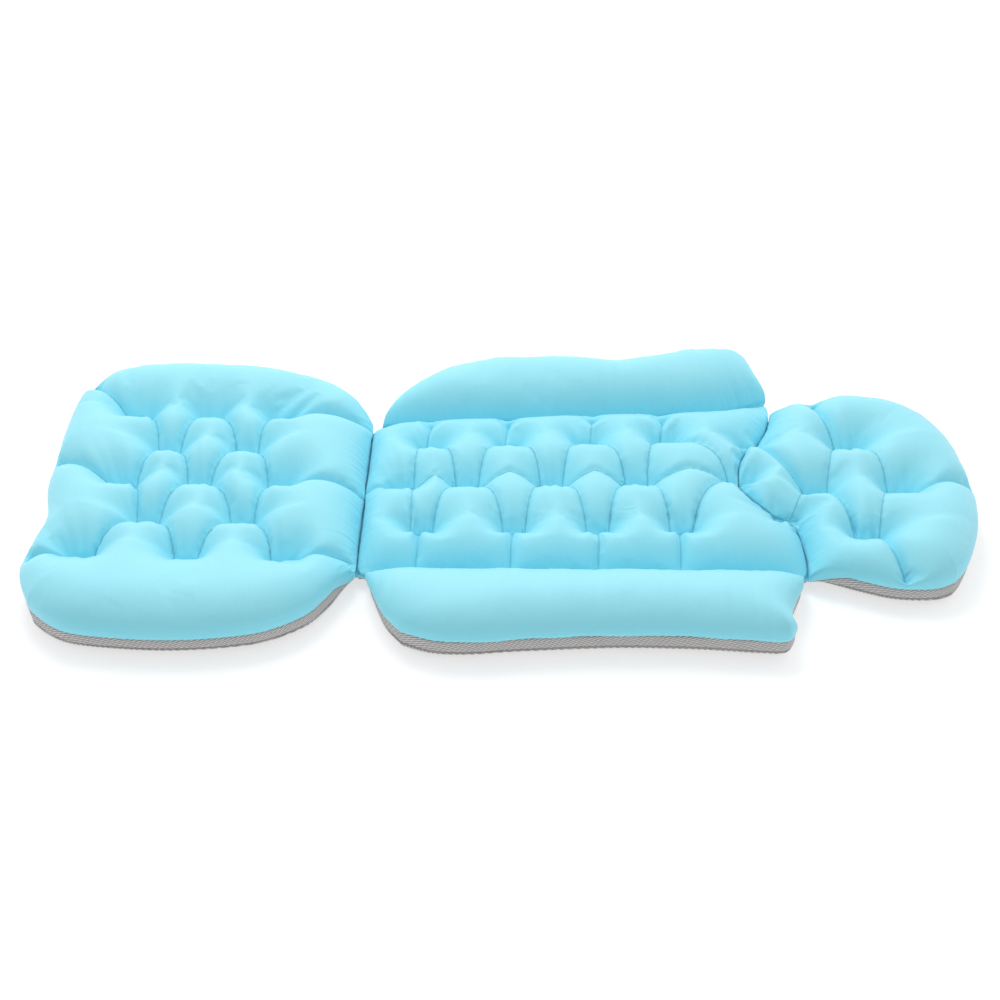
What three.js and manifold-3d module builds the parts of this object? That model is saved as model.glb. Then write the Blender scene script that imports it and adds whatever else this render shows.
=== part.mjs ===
// Padded bath mat with a built-in head pillow, lying flat.
//
// Millimetres. +X runs from the seat to the head, +Y across the mat and +Z up.
// The origin is in the middle of the mat, on the tub's floor that the suction cups stand on.
//
// Five padded panels are sewn together: a seat, a tufted back with a bolster down each side, and a head
// pillow. Each panel is a polyester cover over a fibre filling over an air-mesh underside. The panels
// fold along four sewn lines, and each fold line is a thin roll of stitched fabric on the fold's axis.
// The panels taper to those lines in open valleys, which is what leaves them room to fold.

import * as THREE from 'three';
import { mergeVertices } from 'three/addons/utils/BufferGeometryUtils.js';
import Module from 'manifold-3d';

const wasm = await Module();
wasm.setup();

// Clearances
const fit = 0.3; // between pieces that touch
const cutOverrun = 2; // how far a cutting tool runs past what it cuts

// Suction cup and the tape tab that holds it
const cupDiameter = 42;
const cupHeight = 7.6; // from the rim to the shoulder under the tab
const cupWall = 1.6;
const cupLip = 1; // flat sealing edge
const neckDiameter = 7;
const studDiameter = 13;
const studHeight = 2.2;
const tabThickness = 1.2;
const tabWidth = 22;
const tabPocketLength = 24; // the stretch of tape that bridges the stud
const tabSewnLength = 9; // each end that is sewn to the mesh
const tabRamp = 4;

// Levels above the tub's floor
const pocketFloor = cupHeight + fit;
const undersideLevel = pocketFloor + tabThickness + fit + studHeight + fit;
const foldHalfHeight = 2.5; // half the thickness of the sewn edges at a fold
const foldLevel = undersideLevel + foldHalfHeight;
const rimDroop = 5; // the free edges hang this much lower than the middle
const seamLevel = 30; // where cover and mesh are sewn together round a free edge
const equatorLevel = 41; // the widest level of a padded edge
const padHeight = 78; // top of the padded rim, seat and back
const headHeight = 76;
const bolsterHeight = 86;
const tuftLevel = 31; // bottom of a tuft

// Fabric thicknesses
const coverThickness = 1.2;
const meshThickness = 2;
const fillingClearance = 4.5; // the coarse filling stays this far below the cover

// Sewn fold lines, end to end
const seatFoldX = -180;
const foldFarY = 156;
const foldNearY = -154;
const headFoldFarX = 378;
const headFoldFarY = 195;
const headFoldNearX = 397;
const headFoldNearY = -149;
const foldRollRadius = 2.5;
const edgeGap = foldRollRadius + fit; // from a fold line to the edge of a panel
const foldRollEndGap = 6; // the rolls stop short of the corners where two of them meet

// Panels
const seatLength = 428;
const seatHalfWidth = 277;
const bolsterWidth = 132;
const headLength = 244;
const headHalfWidth = 192;

// Padded edges
const rimWidth = 62; // how far in from a free edge the padding reaches its full height
const bolsterRimWidth = 54;
const seamTuck = 4; // how far the seam lies inside the widest outline
const wallFootInset = 6.5; // where the mesh turns under
const wallFootHeight = 5.5;
const rimFootInset = 13; // lowest line of the rim
const middleInset = 34; // where the underside is back at its middle level
const foldFootInset = 1.5; // the same places beside a fold
const foldFootHeight = 0.8;
const foldMiddleInset = 10;
const fillingFoldInset = 14;
const fillingFreeInset = 10;
const valleySlope = 1.7; // steepest rise beside a cross fold
const bolsterValleySlope = 2.3; // steepest rise of a bolster beside its crease
const backCreaseSlope = 1.5; // steepest rise of the back beside a bolster's crease
const foldBlend = 55; // distance over which a free edge dies into a fold
const tuftRadius = 27; // reach of a tuft's pit

// Hanging loop
const loopY = 30;
const loopHalfWidth = 24; // to the outside of the tape
const loopReach = 24;
const loopTapeWidth = 7;
const loopTapeHeight = 3;
const loopLevel = 20; // where it is sewn to the mesh wall
const loopGap = 0.1;

// The outlines of the free sides, as shares of each panel's length from its fold and of its half width.
// Each side runs away from the fold, and each end runs from one side to the other.
const seatFarShares = [
  [0.035, 0.63], [0.07, 0.7], [0.15, 0.795], [0.26, 0.87], [0.4, 0.92], [0.56, 0.935], [0.7, 0.935],
  [0.82, 0.905], [0.92, 0.82], [0.97, 0.69],
];
const seatEndShares = [
  [0.97, 0.69], [0.98, 0.54], [0.985, 0.32], [0.985, 0.11], [0.98, -0.08], [0.955, -0.27],
  [0.97, -0.44], [0.985, -0.57], [0.975, -0.71], [0.93, -0.86],
];
const seatNearShares = [
  [0.035, -0.63], [0.075, -0.76], [0.13, -0.88], [0.23, -0.98], [0.34, -1.025], [0.49, -1.05],
  [0.64, -1.045], [0.79, -1.015], [0.87, -0.95], [0.93, -0.86],
];
const headNearShares = [
  [0.10, -0.775], [0.19, -0.81], [0.31, -0.87], [0.44, -0.925], [0.56, -0.94], [0.68, -0.925], [0.78, -0.86],
];
const headEndShares = [
  [0.78, -0.86], [0.86, -0.72], [0.93, -0.5], [0.98, -0.26], [1, 0.03], [0.965, 0.34], [0.91, 0.59],
  [0.82, 0.8],
];
const headFarShares = [
  [0.03, 0.985], [0.12, 1.005], [0.24, 1.03], [0.36, 1.05], [0.48, 1.03], [0.6, 1], [0.72, 0.92],
  [0.82, 0.8],
];

// A bolster's outline, as shares of its crease's length and of its width outward from the crease.
const farBolsterHeadShares = [
  [0.997, 0.33], [0.98, 0.54], [0.965, 0.79],
];
const farBolsterSideShares = [
  [0.965, 0.79], [0.93, 0.9], [0.85, 0.93], [0.76, 0.87], [0.64, 0.78], [0.52, 0.84], [0.43, 0.87],
  [0.32, 0.86], [0.215, 0.77],
];
const farBolsterSeatShares = [
  [0.036, 0.156], [0.075, 0.36], [0.134, 0.58], [0.215, 0.77],
];
const nearBolsterSeatShares = [
  [0.035, 0.31], [0.065, 0.64], [0.11, 0.89],
];
const nearBolsterSideShares = [
  [0.11, 0.89], [0.18, 1.02], [0.26, 1.04], [0.36, 0.995], [0.515, 0.945], [0.615, 0.93],
  [0.75, 0.945], [0.88, 0.99], [0.93, 0.98], [0.957, 0.86],
];
const nearBolsterHeadShares = [
  [0.98, 0.235], [0.955, 0.5], [0.945, 0.7], [0.957, 0.86],
];
const farBolsterSpanShares = [0.02, 0.996]; // where a bolster starts and ends along its crease
const nearBolsterSpanShares = [0.02, 0.985];

// Tufts, as shares of a panel's length from its fold and of its half width
const seatTuftShares = [
  [0.76, 0.53], [0.53, 0.53], [0.30, 0.53], [0.64, 0.26], [0.39, 0.26],
  [0.75, 0], [0.52, 0], [0.27, 0], [0.65, -0.28], [0.36, -0.28],
  [0.82, -0.53], [0.51, -0.53], [0.22, -0.53],
];
const headTuftShares = [[0.35, 0.47], [0.14, 0], [0.59, 0], [0.37, -0.48]];

// Tufts of the back, as shares of the way from the seat fold to the head fold, and across from
// the near crease at 0 to the far crease at 1
const backTuftShares = [
  [0.15, 0.77], [0.34, 0.77], [0.53, 0.77], [0.72, 0.77], [0.905, 0.73], [0.09, 0.5], [0.24, 0.5],
  [0.44, 0.5], [0.64, 0.5], [0.87, 0.51], [0.14, 0.22], [0.35, 0.22], [0.54, 0.22], [0.73, 0.22],
  [0.963, 0.29],
];

// Suction cups, as shares in the same ways
const seatCupShares = [[0.19, 0.60], [0.5, 0.68], [0.82, 0.56], [0.19, -0.66], [0.5, -0.76], [0.82, -0.68]];
const backCupShares = [[0.16, 0.75], [0.84, 0.75], [0.16, 0.25], [0.84, 0.25]];
const farBolsterCupShares = [[0.30, 0.38], [0.72, 0.38]];
const nearBolsterCupShares = [[0.24, 0.48], [0.63, 0.48]];
const headCupShares = [[0.58, 0.5], [0.58, -0.42]];

// Columns away from the fold and rows along it of the grid that each cover is sewn on. All are even,
// because the coarser pieces use every second one.
const seatGrid = { columns: 20, rows: 24 };
const backGrid = { columns: 24, rows: 14 };
const headGrid = { columns: 12, rows: 18 };
const bolsterGrid = { columns: 8, rows: 18 };
const gradingShare = 0.45; // how much the grid closes up towards its edges
const tuftSharpness = 1.5;
const cupSides = 10;
const rollSides = 10;
const loopSteps = 14;
const loopSides = 8;
const settlingPasses = 3;
const neckSides = 12;
const outlineSteps = 24;

// Materials
const polyester = new THREE.MeshStandardMaterial({ color: '#82d8ea', roughness: 0.55, metalness: 0 });
const airMesh = new THREE.MeshStandardMaterial({ color: '#8f8d8b', roughness: 0.9, metalness: 0 });
const fibre = new THREE.MeshStandardMaterial({ color: '#f2f2ee', roughness: 1, metalness: 0 });
const thread = new THREE.MeshStandardMaterial({ color: '#7fc9da', roughness: 0.7, metalness: 0 });
const tape = new THREE.MeshStandardMaterial({ color: '#a39aa0', roughness: 0.8, metalness: 0 });
const clearPvc = new THREE.MeshStandardMaterial({ color: '#dfe6e8', roughness: 0.15, metalness: 0 });

const mat = new THREE.Group();

/** Adds one named piece with its own material. */
function addPiece(name, geometry, material) {
  const piece = new THREE.Mesh(geometry, material.clone());
  piece.name = name;
  mat.add(piece);
  return piece;
}

// Lines and patches in plan

/** A sewn line, as seen from above. */
function lineOf(fromX, fromY, toX, toY) {
  const from = new THREE.Vector2(fromX, fromY);
  const to = new THREE.Vector2(toX, toY);
  const along = to.clone().sub(from).normalize();
  return { from, to, along, left: new THREE.Vector2(-along.y, along.x), length: from.distanceTo(to) };
}

/** The point at a share of a line, set off to its left. */
const besideLine = (line, share, offset) => line.from.clone()
  .addScaledVector(line.along, line.length * share)
  .addScaledVector(line.left, offset);

/** Where two lines cross once each is set off to its left. */
function crossing(first, firstOffset, second, secondOffset) {
  const start = besideLine(first, 0, firstOffset);
  const gap = besideLine(second, 0, secondOffset).sub(start);
  return start.addScaledVector(first.along, gap.cross(second.along) / first.along.cross(second.along));
}

/** A smooth side through hand-chosen points. */
function smoothSide(points) {
  const curve = new THREE.SplineCurve(points);
  return (t) => curve.getPointAt(THREE.MathUtils.clamp(t, 0, 1));
}

/** A straight side between two points. */
const straightSide = (start, end) => (t) => new THREE.Vector2().lerpVectors(start, end, t);

/**
 * Blends four sides into one patch: right and left run away from the fold, start and end run from
 * right to left. The sum of both ruled surfaces less the bilinear one is a Coons patch.
 */
function patchOf({ start, right, end, left }) {
  return (u, v) => {
    const across = new THREE.Vector2().lerpVectors(right(u), left(u), v);
    const away = new THREE.Vector2().lerpVectors(start(v), end(v), u);
    const rightLine = new THREE.Vector2().lerpVectors(right(0), right(1), u);
    const leftLine = new THREE.Vector2().lerpVectors(left(0), left(1), u);
    return across.add(away).sub(rightLine.lerp(leftLine, v));
  };
}

/** Distance from a point to a chain of points. */
function distanceToChain(point, chain) {
  let least = Infinity;
  for (let i = 1; i < chain.length; i += 1) {
    const step = chain[i].clone().sub(chain[i - 1]);
    const offset = point.clone().sub(chain[i - 1]);
    const share = THREE.MathUtils.clamp(offset.dot(step) / step.lengthSq(), 0, 1);
    least = Math.min(least, offset.sub(step.multiplyScalar(share)).length());
  }
  return least;
}

// Levels of a panel

/** Rises from 0 at a sewn line towards 1, so that a height scaled by it is never steeper than slope. */
const valley = (distance, slope, height) => 1 - Math.exp(-slope * distance / height);

/** Quarter of an ellipse: 0 at the free edge, 1 from one rim width inward. */
const puffedEdge = (distance, width) => Math.sqrt(1 - (1 - Math.min(distance / width, 1)) ** 2);

/** The pit that a tuft pulls: 0 in its middle, towards 1 outside its reach. */
const tuftPit = (distance) => 1 - Math.exp(-((distance / tuftRadius) ** tuftSharpness));

/**
 * The levels of one panel at a point of its plan. The crown is its height less every tuft's pit. It
 * falls to the sewn lines in valleys, and to the free edges in a quarter ellipse above the equator.
 */
function levelsOf(panel) {
  const edgeTop = foldLevel + foldHalfHeight;
  const fromEdge = (point, chain) => Math.max(distanceToChain(point, chain) - edgeGap, 0);
  const sewnAt = (point, height) => panel.sewn.reduce(
    (share, { chain, slope }) => share * valley(fromEdge(point, chain), slope, height), 1);
  const raised = (point, level) => edgeTop + (level - edgeTop) * sewnAt(point, level - edgeTop);
  const crown = (point) => tuftLevel + (panel.height - tuftLevel)
    * panel.tufts.reduce((share, tuft) => share * tuftPit(point.distanceTo(tuft)), 1);
  const top = (point) => {
    const low = raised(point, equatorLevel);
    const high = raised(point, crown(point));
    const share = panel.free.length ? puffedEdge(distanceToChain(point, panel.free), panel.rim) : 1;
    return low + (high - low) * share;
  };
  const mix = (point, sewnLevel, freeLevel) => {
    const distance = Math.min(...panel.sewn.map(({ chain }) => distanceToChain(point, chain)));
    return THREE.MathUtils.lerp(sewnLevel, freeLevel, THREE.MathUtils.smoothstep(distance, 0, foldBlend));
  };
  return { top, mix };
}

// Surfaces on a panel's grid

/** Even steps drawn closer together towards both ends. */
const graded = (t) => t - gradingShare * Math.sin(2 * Math.PI * t) / (2 * Math.PI);

/** A grid's border, once round, as [column, row] pairs. */
function borderOf({ columns, rows }) {
  const border = [];
  for (let i = 0; i < columns; i += 1) border.push([i, 0]);
  for (let j = 0; j < rows; j += 1) border.push([columns, j]);
  for (let i = columns; i > 0; i -= 1) border.push([i, rows]);
  for (let j = rows; j > 0; j -= 1) border.push([0, j]);
  return border;
}

/** A grid point in plan, once the grid is drawn in from its sewn and its free sides. */
function planPoint(panel, { columns, rows }, insets, i, j) {
  const share = (side, span) => (panel.sewnSides.includes(side) ? insets.sewn : insets.free) / span;
  const [start, end] = [share('start', panel.length), share('end', panel.length)];
  const [right, left] = [share('right', panel.width), share('left', panel.width)];
  const u = start + (1 - start - end) * graded(i / columns);
  const v = right + (1 - right - left) * graded(j / rows);
  return panel.patch(u, v);
}

/** The grid of the coarser pieces. */
const coarse = ({ columns, rows }) => ({ columns: columns / 2, rows: rows / 2 });

/** The coarse grid's border at a level of its own. */
const coarseLoop = (panel, insets, levelAt) => borderOf(coarse(panel.grid)).map(([i, j]) => {
  const point = planPoint(panel, coarse(panel.grid), insets, i, j);
  return new THREE.Vector3(point.x, point.y, levelAt(point));
});

/** Adds the middle of each edge to a closed loop, so that it matches the fine grid's border. */
const withMiddles = (loop) => loop.flatMap(
  (point, i) => [point, point.clone().lerp(loop[(i + 1) % loop.length], 0.5)]);

/** A closed body under construction: points and triangles. */
class Surface {
  constructor() {
    this.points = [];
    this.triangles = [];
  }

  add(points) {
    const first = this.points.length;
    this.points.push(...points);
    return points.map((point, index) => first + index);
  }

  /** Joins two loops that run anticlockwise, with faces outward where upper lies above lower. */
  band(lower, upper) {
    lower.forEach((corner, i) => {
      const next = (i + 1) % lower.length;
      this.triangles.push([corner, lower[next], upper[next]], [corner, upper[next], upper[i]]);
    });
  }

  /** Fills a grid, faces up. */
  sheet(index, { columns, rows }) {
    for (let i = 0; i < columns; i += 1) {
      for (let j = 0; j < rows; j += 1) {
        const corners = [index(i, j), index(i + 1, j), index(i + 1, j + 1), index(i, j + 1)];
        this.triangles.push([corners[0], corners[1], corners[2]], [corners[0], corners[2], corners[3]]);
      }
    }
  }

  /** Closes a flat loop, faces up or down. */
  closeLoop(loop, facesUp) {
    const outline = loop.map((index) => new THREE.Vector2(this.points[index].x, this.points[index].y));
    THREE.ShapeUtils.triangulateShape(outline, []).forEach(([a, b, c]) => {
      this.triangles.push(facesUp ? [loop[a], loop[b], loop[c]] : [loop[a], loop[c], loop[b]]);
    });
  }

  /** Unit normal at every point, from the faces around it. */
  normals() {
    const sums = this.points.map(() => new THREE.Vector3());
    this.triangles.forEach((triangle) => {
      const [p, q, r] = triangle.map((index) => this.points[index]);
      const face = q.clone().sub(p).cross(r.clone().sub(p));
      triangle.forEach((index) => sums[index].add(face));
    });
    return sums.map((sum) => sum.normalize());
  }

  geometry() {
    const geometry = new THREE.BufferGeometry().setFromPoints(this.points);
    geometry.setIndex(this.triangles.flat());
    geometry.computeVertexNormals();
    return geometry;
  }
}

/** A grid in plan, with the nearest inner point pulled onto each tuft. */
function tuftedPlan(panel, grid, insets) {
  const { columns, rows } = grid;
  const plan = [];
  for (let i = 0; i <= columns; i += 1) {
    for (let j = 0; j <= rows; j += 1) {
      const onBorder = i === 0 || j === 0 || i === columns || j === rows;
      plan.push({ at: planPoint(panel, grid, insets, i, j), onBorder });
    }
  }
  panel.tufts.forEach((tuft) => {
    const distances = plan.map(({ at }) => at.distanceTo(tuft));
    const nearest = plan[distances.indexOf(Math.min(...distances))].at.clone();
    const pull = tuft.clone().sub(nearest);
    plan.filter(({ onBorder }) => !onBorder).forEach(({ at }) => {
      at.addScaledVector(pull, Math.exp(-((at.distanceTo(nearest) / tuftRadius) ** 2)));
    });
  });
  return plan.map(({ at }) => at);
}

// Pieces of a panel

/** The cover: a thin shell from the seam, out round the equator and over the tufted top. */
function coverOf(panel) {
  const outer = new Surface();
  const top = outer.add(tuftedPlan(panel, panel.grid, { sewn: 0, free: 0 }).map(
    (point) => new THREE.Vector3(point.x, point.y, panel.levels.top(point))));
  const index = (i, j) => top[i * (panel.grid.rows + 1) + j];
  outer.sheet(index, panel.grid);
  const equator = borderOf(panel.grid).map(([i, j]) => index(i, j));
  const seamAt = (point) => panel.levels.mix(point, foldLevel + fit / 2, seamLevel + fit);
  const seam = outer.add(withMiddles(coarseLoop(panel, { sewn: 0, free: seamTuck }, seamAt)));
  outer.band(seam, equator);
  const normals = outer.normals();
  const shell = new Surface();
  const outside = shell.add(outer.points);
  const inside = shell.add(outer.points.map(
    (point, i) => point.clone().addScaledVector(normals[i], -coverThickness)));
  outer.triangles.forEach(([a, b, c]) => {
    shell.triangles.push([outside[a], outside[b], outside[c]], [inside[a], inside[c], inside[b]]);
  });
  shell.band(seam.map((i) => inside[i]), seam.map((i) => outside[i]));
  return shell.geometry();
}

/** The air-mesh underside: a tray from the seam down the wall, under the rim and across the middle. */
function undersideOf(panel) {
  const tray = new Surface();
  const loop = (sewn, free, sewnLevel, freeLevel) => tray.add(coarseLoop(
    panel, { sewn, free }, (point) => panel.levels.mix(point, sewnLevel, freeLevel)));
  const rimLevel = undersideLevel - rimDroop;
  const innerLevel = undersideLevel + meshThickness;
  const outside = [
    loop(0, seamTuck, foldLevel - fit / 2, seamLevel),
    loop(0, wallFootInset, undersideLevel + foldFootHeight, rimLevel + wallFootHeight),
    loop(foldFootInset, rimFootInset, undersideLevel, rimLevel),
    loop(foldMiddleInset, middleInset, undersideLevel, undersideLevel),
  ];
  const inside = [
    loop(meshThickness, seamTuck + meshThickness, foldLevel - fit / 2, seamLevel),
    loop(meshThickness + foldFootInset, wallFootInset + 2 * meshThickness, innerLevel, rimLevel + wallFootHeight),
    loop(foldMiddleInset, middleInset, innerLevel, innerLevel),
  ];
  outside.slice(1).forEach((lower, i) => tray.band(lower, outside[i]));
  inside.slice(1).forEach((lower, i) => tray.band(inside[i], lower));
  tray.band(outside[0], inside[0]);
  tray.closeLoop(outside[outside.length - 1], false);
  tray.closeLoop(inside[inside.length - 1], true);
  return tray.geometry();
}

/** The filling: a coarse pad with a flat base, its top lowered until it lies clear below the cover. */
function fillingOf(panel) {
  const grid = coarse(panel.grid);
  const reach = coverThickness + fillingClearance;
  const around = [[0, 0], [reach, 0], [-reach, 0], [0, reach], [0, -reach]].map((at) => new THREE.Vector2(...at));
  const ceiling = (point) => Math.min(
    ...around.map((offset) => panel.levels.top(point.clone().add(offset)))) - reach;
  const insets = { sewn: fillingFoldInset, free: fillingFreeInset };
  const pad = new Surface();
  const top = pad.add(tuftedPlan(panel, grid, insets).map(
    (point) => new THREE.Vector3(point.x, point.y, ceiling(point))));
  const index = (i, j) => top[i * (grid.rows + 1) + j];
  pad.sheet(index, grid);
  const sampleShares = [
    [0.5, 0.5, 0], [0, 0.5, 0.5], [0.5, 0, 0.5], [0.34, 0.33, 0.33],
    [0.66, 0.17, 0.17], [0.17, 0.66, 0.17], [0.17, 0.17, 0.66],
  ];
  for (let pass = 0; pass < settlingPasses; pass += 1) {
    pad.triangles.forEach((triangle) => {
      const corners = triangle.map((corner) => pad.points[corner]);
      const excess = Math.max(0, ...sampleShares.map((shares) => {
        const at = new THREE.Vector3();
        corners.forEach((corner, k) => at.addScaledVector(corner, shares[k]));
        return at.z - ceiling(new THREE.Vector2(at.x, at.y));
      }));
      corners.forEach((corner) => { corner.z -= excess; });
    });
  }
  const base = undersideLevel + meshThickness + fit;
  const waist = pad.add(coarseLoop(
    panel,
    { sewn: fillingFoldInset, free: fillingFreeInset + meshThickness },
    (point) => panel.levels.mix(point, base + fit, seamLevel)));
  const foot = pad.add(coarseLoop(
    panel, { sewn: fillingFoldInset + fit, free: middleInset + fillingClearance }, () => base));
  pad.band(waist, borderOf(grid).map(([i, j]) => index(i, j)));
  pad.band(foot, waist);
  pad.closeLoop(foot, false);
  return pad.geometry();
}

/** Adds the cover, filling and underside of one panel. */
function addPanel(name, panel) {
  panel.levels = levelsOf(panel);
  addPiece(`${name}_cover`, coverOf(panel), polyester);
  addPiece(`${name}_filling`, fillingOf(panel), fibre);
  addPiece(`${name}_mesh`, undersideOf(panel), airMesh);
}

// The four fold lines. The cross folds run from the near side to the far one, and the creases from the
// seat to the head.
const seatFold = lineOf(seatFoldX, foldNearY, seatFoldX, foldFarY);
const headFold = lineOf(headFoldNearX, headFoldNearY, headFoldFarX, headFoldFarY);
const nearCrease = lineOf(seatFoldX, foldNearY, headFoldNearX, headFoldNearY);
const farCrease = lineOf(seatFoldX, foldFarY, headFoldFarX, headFoldFarY);
const chainOf = (line) => [line.from, line.to];

/** Free sides that follow one another as one chain of points, for distances. */
const freeChain = (...sides) => [sides[0](0), ...sides.flatMap(
  (side) => Array.from({ length: outlineSteps }, (_, i) => side((i + 1) / outlineSteps)))];

// Seat: from the seat fold towards -X
const seatPoint = ([along, across]) => new THREE.Vector2(
  seatFoldX - along * seatLength, across * seatHalfWidth);
const seatFoldEdge = [besideLine(seatFold, 1, edgeGap), besideLine(seatFold, 0, edgeGap)];
const seatSides = {
  start: straightSide(...seatFoldEdge),
  right: smoothSide([seatFoldEdge[0], ...seatFarShares.map(seatPoint)]),
  end: smoothSide(seatEndShares.map(seatPoint)),
  left: smoothSide([seatFoldEdge[1], ...seatNearShares.map(seatPoint)]),
};
addPanel('seat', {
  patch: patchOf(seatSides),
  grid: seatGrid,
  length: seatLength,
  width: 2 * seatHalfWidth,
  height: padHeight,
  rim: rimWidth,
  sewnSides: ['start'],
  sewn: [{ chain: chainOf(seatFold), slope: valleySlope }],
  free: freeChain(seatSides.right, seatSides.end, (t) => seatSides.left(1 - t)),
  tufts: seatTuftShares.map(seatPoint),
});

// Back: between all four fold lines
const backCorners = {
  nearSeat: crossing(seatFold, -edgeGap, nearCrease, edgeGap),
  farSeat: crossing(seatFold, -edgeGap, farCrease, -edgeGap),
  nearHead: crossing(headFold, edgeGap, nearCrease, edgeGap),
  farHead: crossing(headFold, edgeGap, farCrease, -edgeGap),
};
const backSides = {
  start: straightSide(backCorners.nearSeat, backCorners.farSeat),
  right: straightSide(backCorners.nearSeat, backCorners.nearHead),
  end: straightSide(backCorners.nearHead, backCorners.farHead),
  left: straightSide(backCorners.farSeat, backCorners.farHead),
};
const backPoint = ([along, across]) => besideLine(nearCrease, along, 0).lerp(
  besideLine(farCrease, along, 0), across);
addPanel('back', {
  patch: patchOf(backSides),
  grid: backGrid,
  length: nearCrease.length,
  width: seatFold.length,
  height: padHeight,
  rim: rimWidth,
  sewnSides: ['start', 'right', 'end', 'left'],
  sewn: [
    { chain: chainOf(seatFold), slope: valleySlope },
    { chain: chainOf(headFold), slope: valleySlope },
    { chain: chainOf(nearCrease), slope: backCreaseSlope },
    { chain: chainOf(farCrease), slope: backCreaseSlope },
  ],
  free: [],
  tufts: backTuftShares.map(backPoint),
});

// Head pillow: from the head fold towards +X
const headX = (headFoldNearX + headFoldFarX) / 2;
const headPoint = ([along, across]) => new THREE.Vector2(headX + along * headLength, across * headHalfWidth);
const headFoldEdge = [besideLine(headFold, 0, -edgeGap), besideLine(headFold, 1, -edgeGap)];
const headSides = {
  start: straightSide(...headFoldEdge),
  right: smoothSide([headFoldEdge[0], ...headNearShares.map(headPoint)]),
  end: smoothSide(headEndShares.map(headPoint)),
  left: smoothSide([headFoldEdge[1], ...headFarShares.map(headPoint)]),
};
addPanel('head', {
  patch: patchOf(headSides),
  grid: headGrid,
  length: headLength,
  width: 2 * headHalfWidth,
  height: headHeight,
  rim: rimWidth,
  sewnSides: ['start'],
  sewn: [{ chain: chainOf(headFold), slope: valleySlope }],
  free: freeChain(headSides.right, headSides.end, (t) => headSides.left(1 - t)),
  tufts: headTuftShares.map(headPoint),
});

/** One bolster. Outward is 1 where it lies to the left of its crease and -1 where it lies to the right. */
function addBolster(name, crease, outward, sides) {
  const at = ([along, out]) => besideLine(crease, along, outward * out * bolsterWidth);
  const [seatCorner, headCorner] = sides.span.map((share) => besideLine(crease, share, outward * edgeGap));
  const seatSide = smoothSide([seatCorner, ...sides.seat.map(at)]);
  const headSide = smoothSide([headCorner, ...sides.head.map(at)]);
  const outline = outward > 0
    ? { start: straightSide(headCorner, seatCorner), right: headSide, left: seatSide }
    : { start: straightSide(seatCorner, headCorner), right: seatSide, left: headSide };
  outline.end = smoothSide(sides.outer.map(at));
  addPanel(name, {
    patch: patchOf(outline),
    grid: bolsterGrid,
    length: bolsterWidth,
    width: crease.length,
    height: bolsterHeight,
    rim: bolsterRimWidth,
    sewnSides: ['start'],
    sewn: [{ chain: chainOf(crease), slope: bolsterValleySlope }],
    free: freeChain(outline.right, outline.end, (t) => outline.left(1 - t)),
    tufts: [],
  });
  return at;
}
const farBolsterPoint = addBolster('right_bolster', farCrease, 1, {
  span: farBolsterSpanShares,
  seat: farBolsterSeatShares,
  outer: farBolsterSideShares,
  head: farBolsterHeadShares,
});
const nearBolsterPoint = addBolster('left_bolster', nearCrease, -1, {
  span: nearBolsterSpanShares,
  seat: nearBolsterSeatShares,
  outer: nearBolsterSideShares,
  head: nearBolsterHeadShares,
});

/** A roll of stitched fabric along part of a fold line. */
function addFoldRoll(name, line, [fromShare, toShare]) {
  const length = line.length * (toShare - fromShare) - 2 * foldRollEndGap;
  const roll = new THREE.CylinderGeometry(foldRollRadius, foldRollRadius, length, rollSides);
  const middle = besideLine(line, (fromShare + toShare) / 2, 0);
  roll.rotateZ(Math.atan2(line.along.y, line.along.x) - Math.PI / 2);
  roll.translate(middle.x, middle.y, foldLevel);
  addPiece(name, roll, thread);
}
addFoldRoll('seat_fold_seam', seatFold, [0, 1]);
addFoldRoll('head_fold_seam', headFold, [0, 1]);
addFoldRoll('right_bolster_seam', farCrease, farBolsterSpanShares);
addFoldRoll('left_bolster_seam', nearCrease, nearBolsterSpanShares);

// Suction cups and their tabs

/** Turns a closed mesh into a solid that can be cut. */
function solidOf(geometry) {
  const bare = geometry.clone();
  bare.deleteAttribute('normal');
  bare.deleteAttribute('uv');
  const merged = mergeVertices(bare);
  return new wasm.Manifold(new wasm.Mesh({
    numProp: 3,
    vertProperties: merged.attributes.position.array,
    triVerts: new Uint32Array(merged.index.array),
  }));
}

/** Turns a cut solid back into a geometry. */
function geometryOf(solid) {
  const { vertProperties, triVerts } = solid.getMesh();
  const geometry = new THREE.BufferGeometry();
  geometry.setAttribute('position', new THREE.BufferAttribute(vertProperties, 3));
  geometry.setIndex(new THREE.BufferAttribute(triVerts, 1));
  geometry.computeVertexNormals();
  return geometry;
}

/** A clear cup: hollow dome, neck through the tab's buttonhole, and a flat stud above the tab. */
function cupGeometry() {
  const radius = cupDiameter / 2;
  const neck = neckDiameter / 2;
  const stud = studDiameter / 2;
  const studLevel = pocketFloor + tabThickness + fit;
  const domeShares = [[0.43, 0.87], [0.74, 0.56]]; // outside of the dome, of its radius and height
  const outside = domeShares.map(([r, z]) => new THREE.Vector2(r * radius, z * cupHeight));
  const inside = outside.map((point) => new THREE.Vector2(point.x, point.y - cupWall)).reverse();
  const profile = [
    new THREE.Vector2(radius - cupLip, 0),
    new THREE.Vector2(radius, 0),
    new THREE.Vector2(radius, cupLip),
    ...outside.slice().reverse(),
    new THREE.Vector2(neck + cupWall, cupHeight),
    new THREE.Vector2(neck, cupHeight),
    new THREE.Vector2(neck, studLevel),
    new THREE.Vector2(stud, studLevel),
    new THREE.Vector2(stud - cupLip, studLevel + studHeight),
    new THREE.Vector2(0, studLevel + studHeight),
  ];
  const hollow = [new THREE.Vector2(0, inside[1].y), ...inside.slice().reverse()];
  return new THREE.LatheGeometry([...hollow, ...profile], cupSides).rotateX(Math.PI / 2);
}

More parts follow.
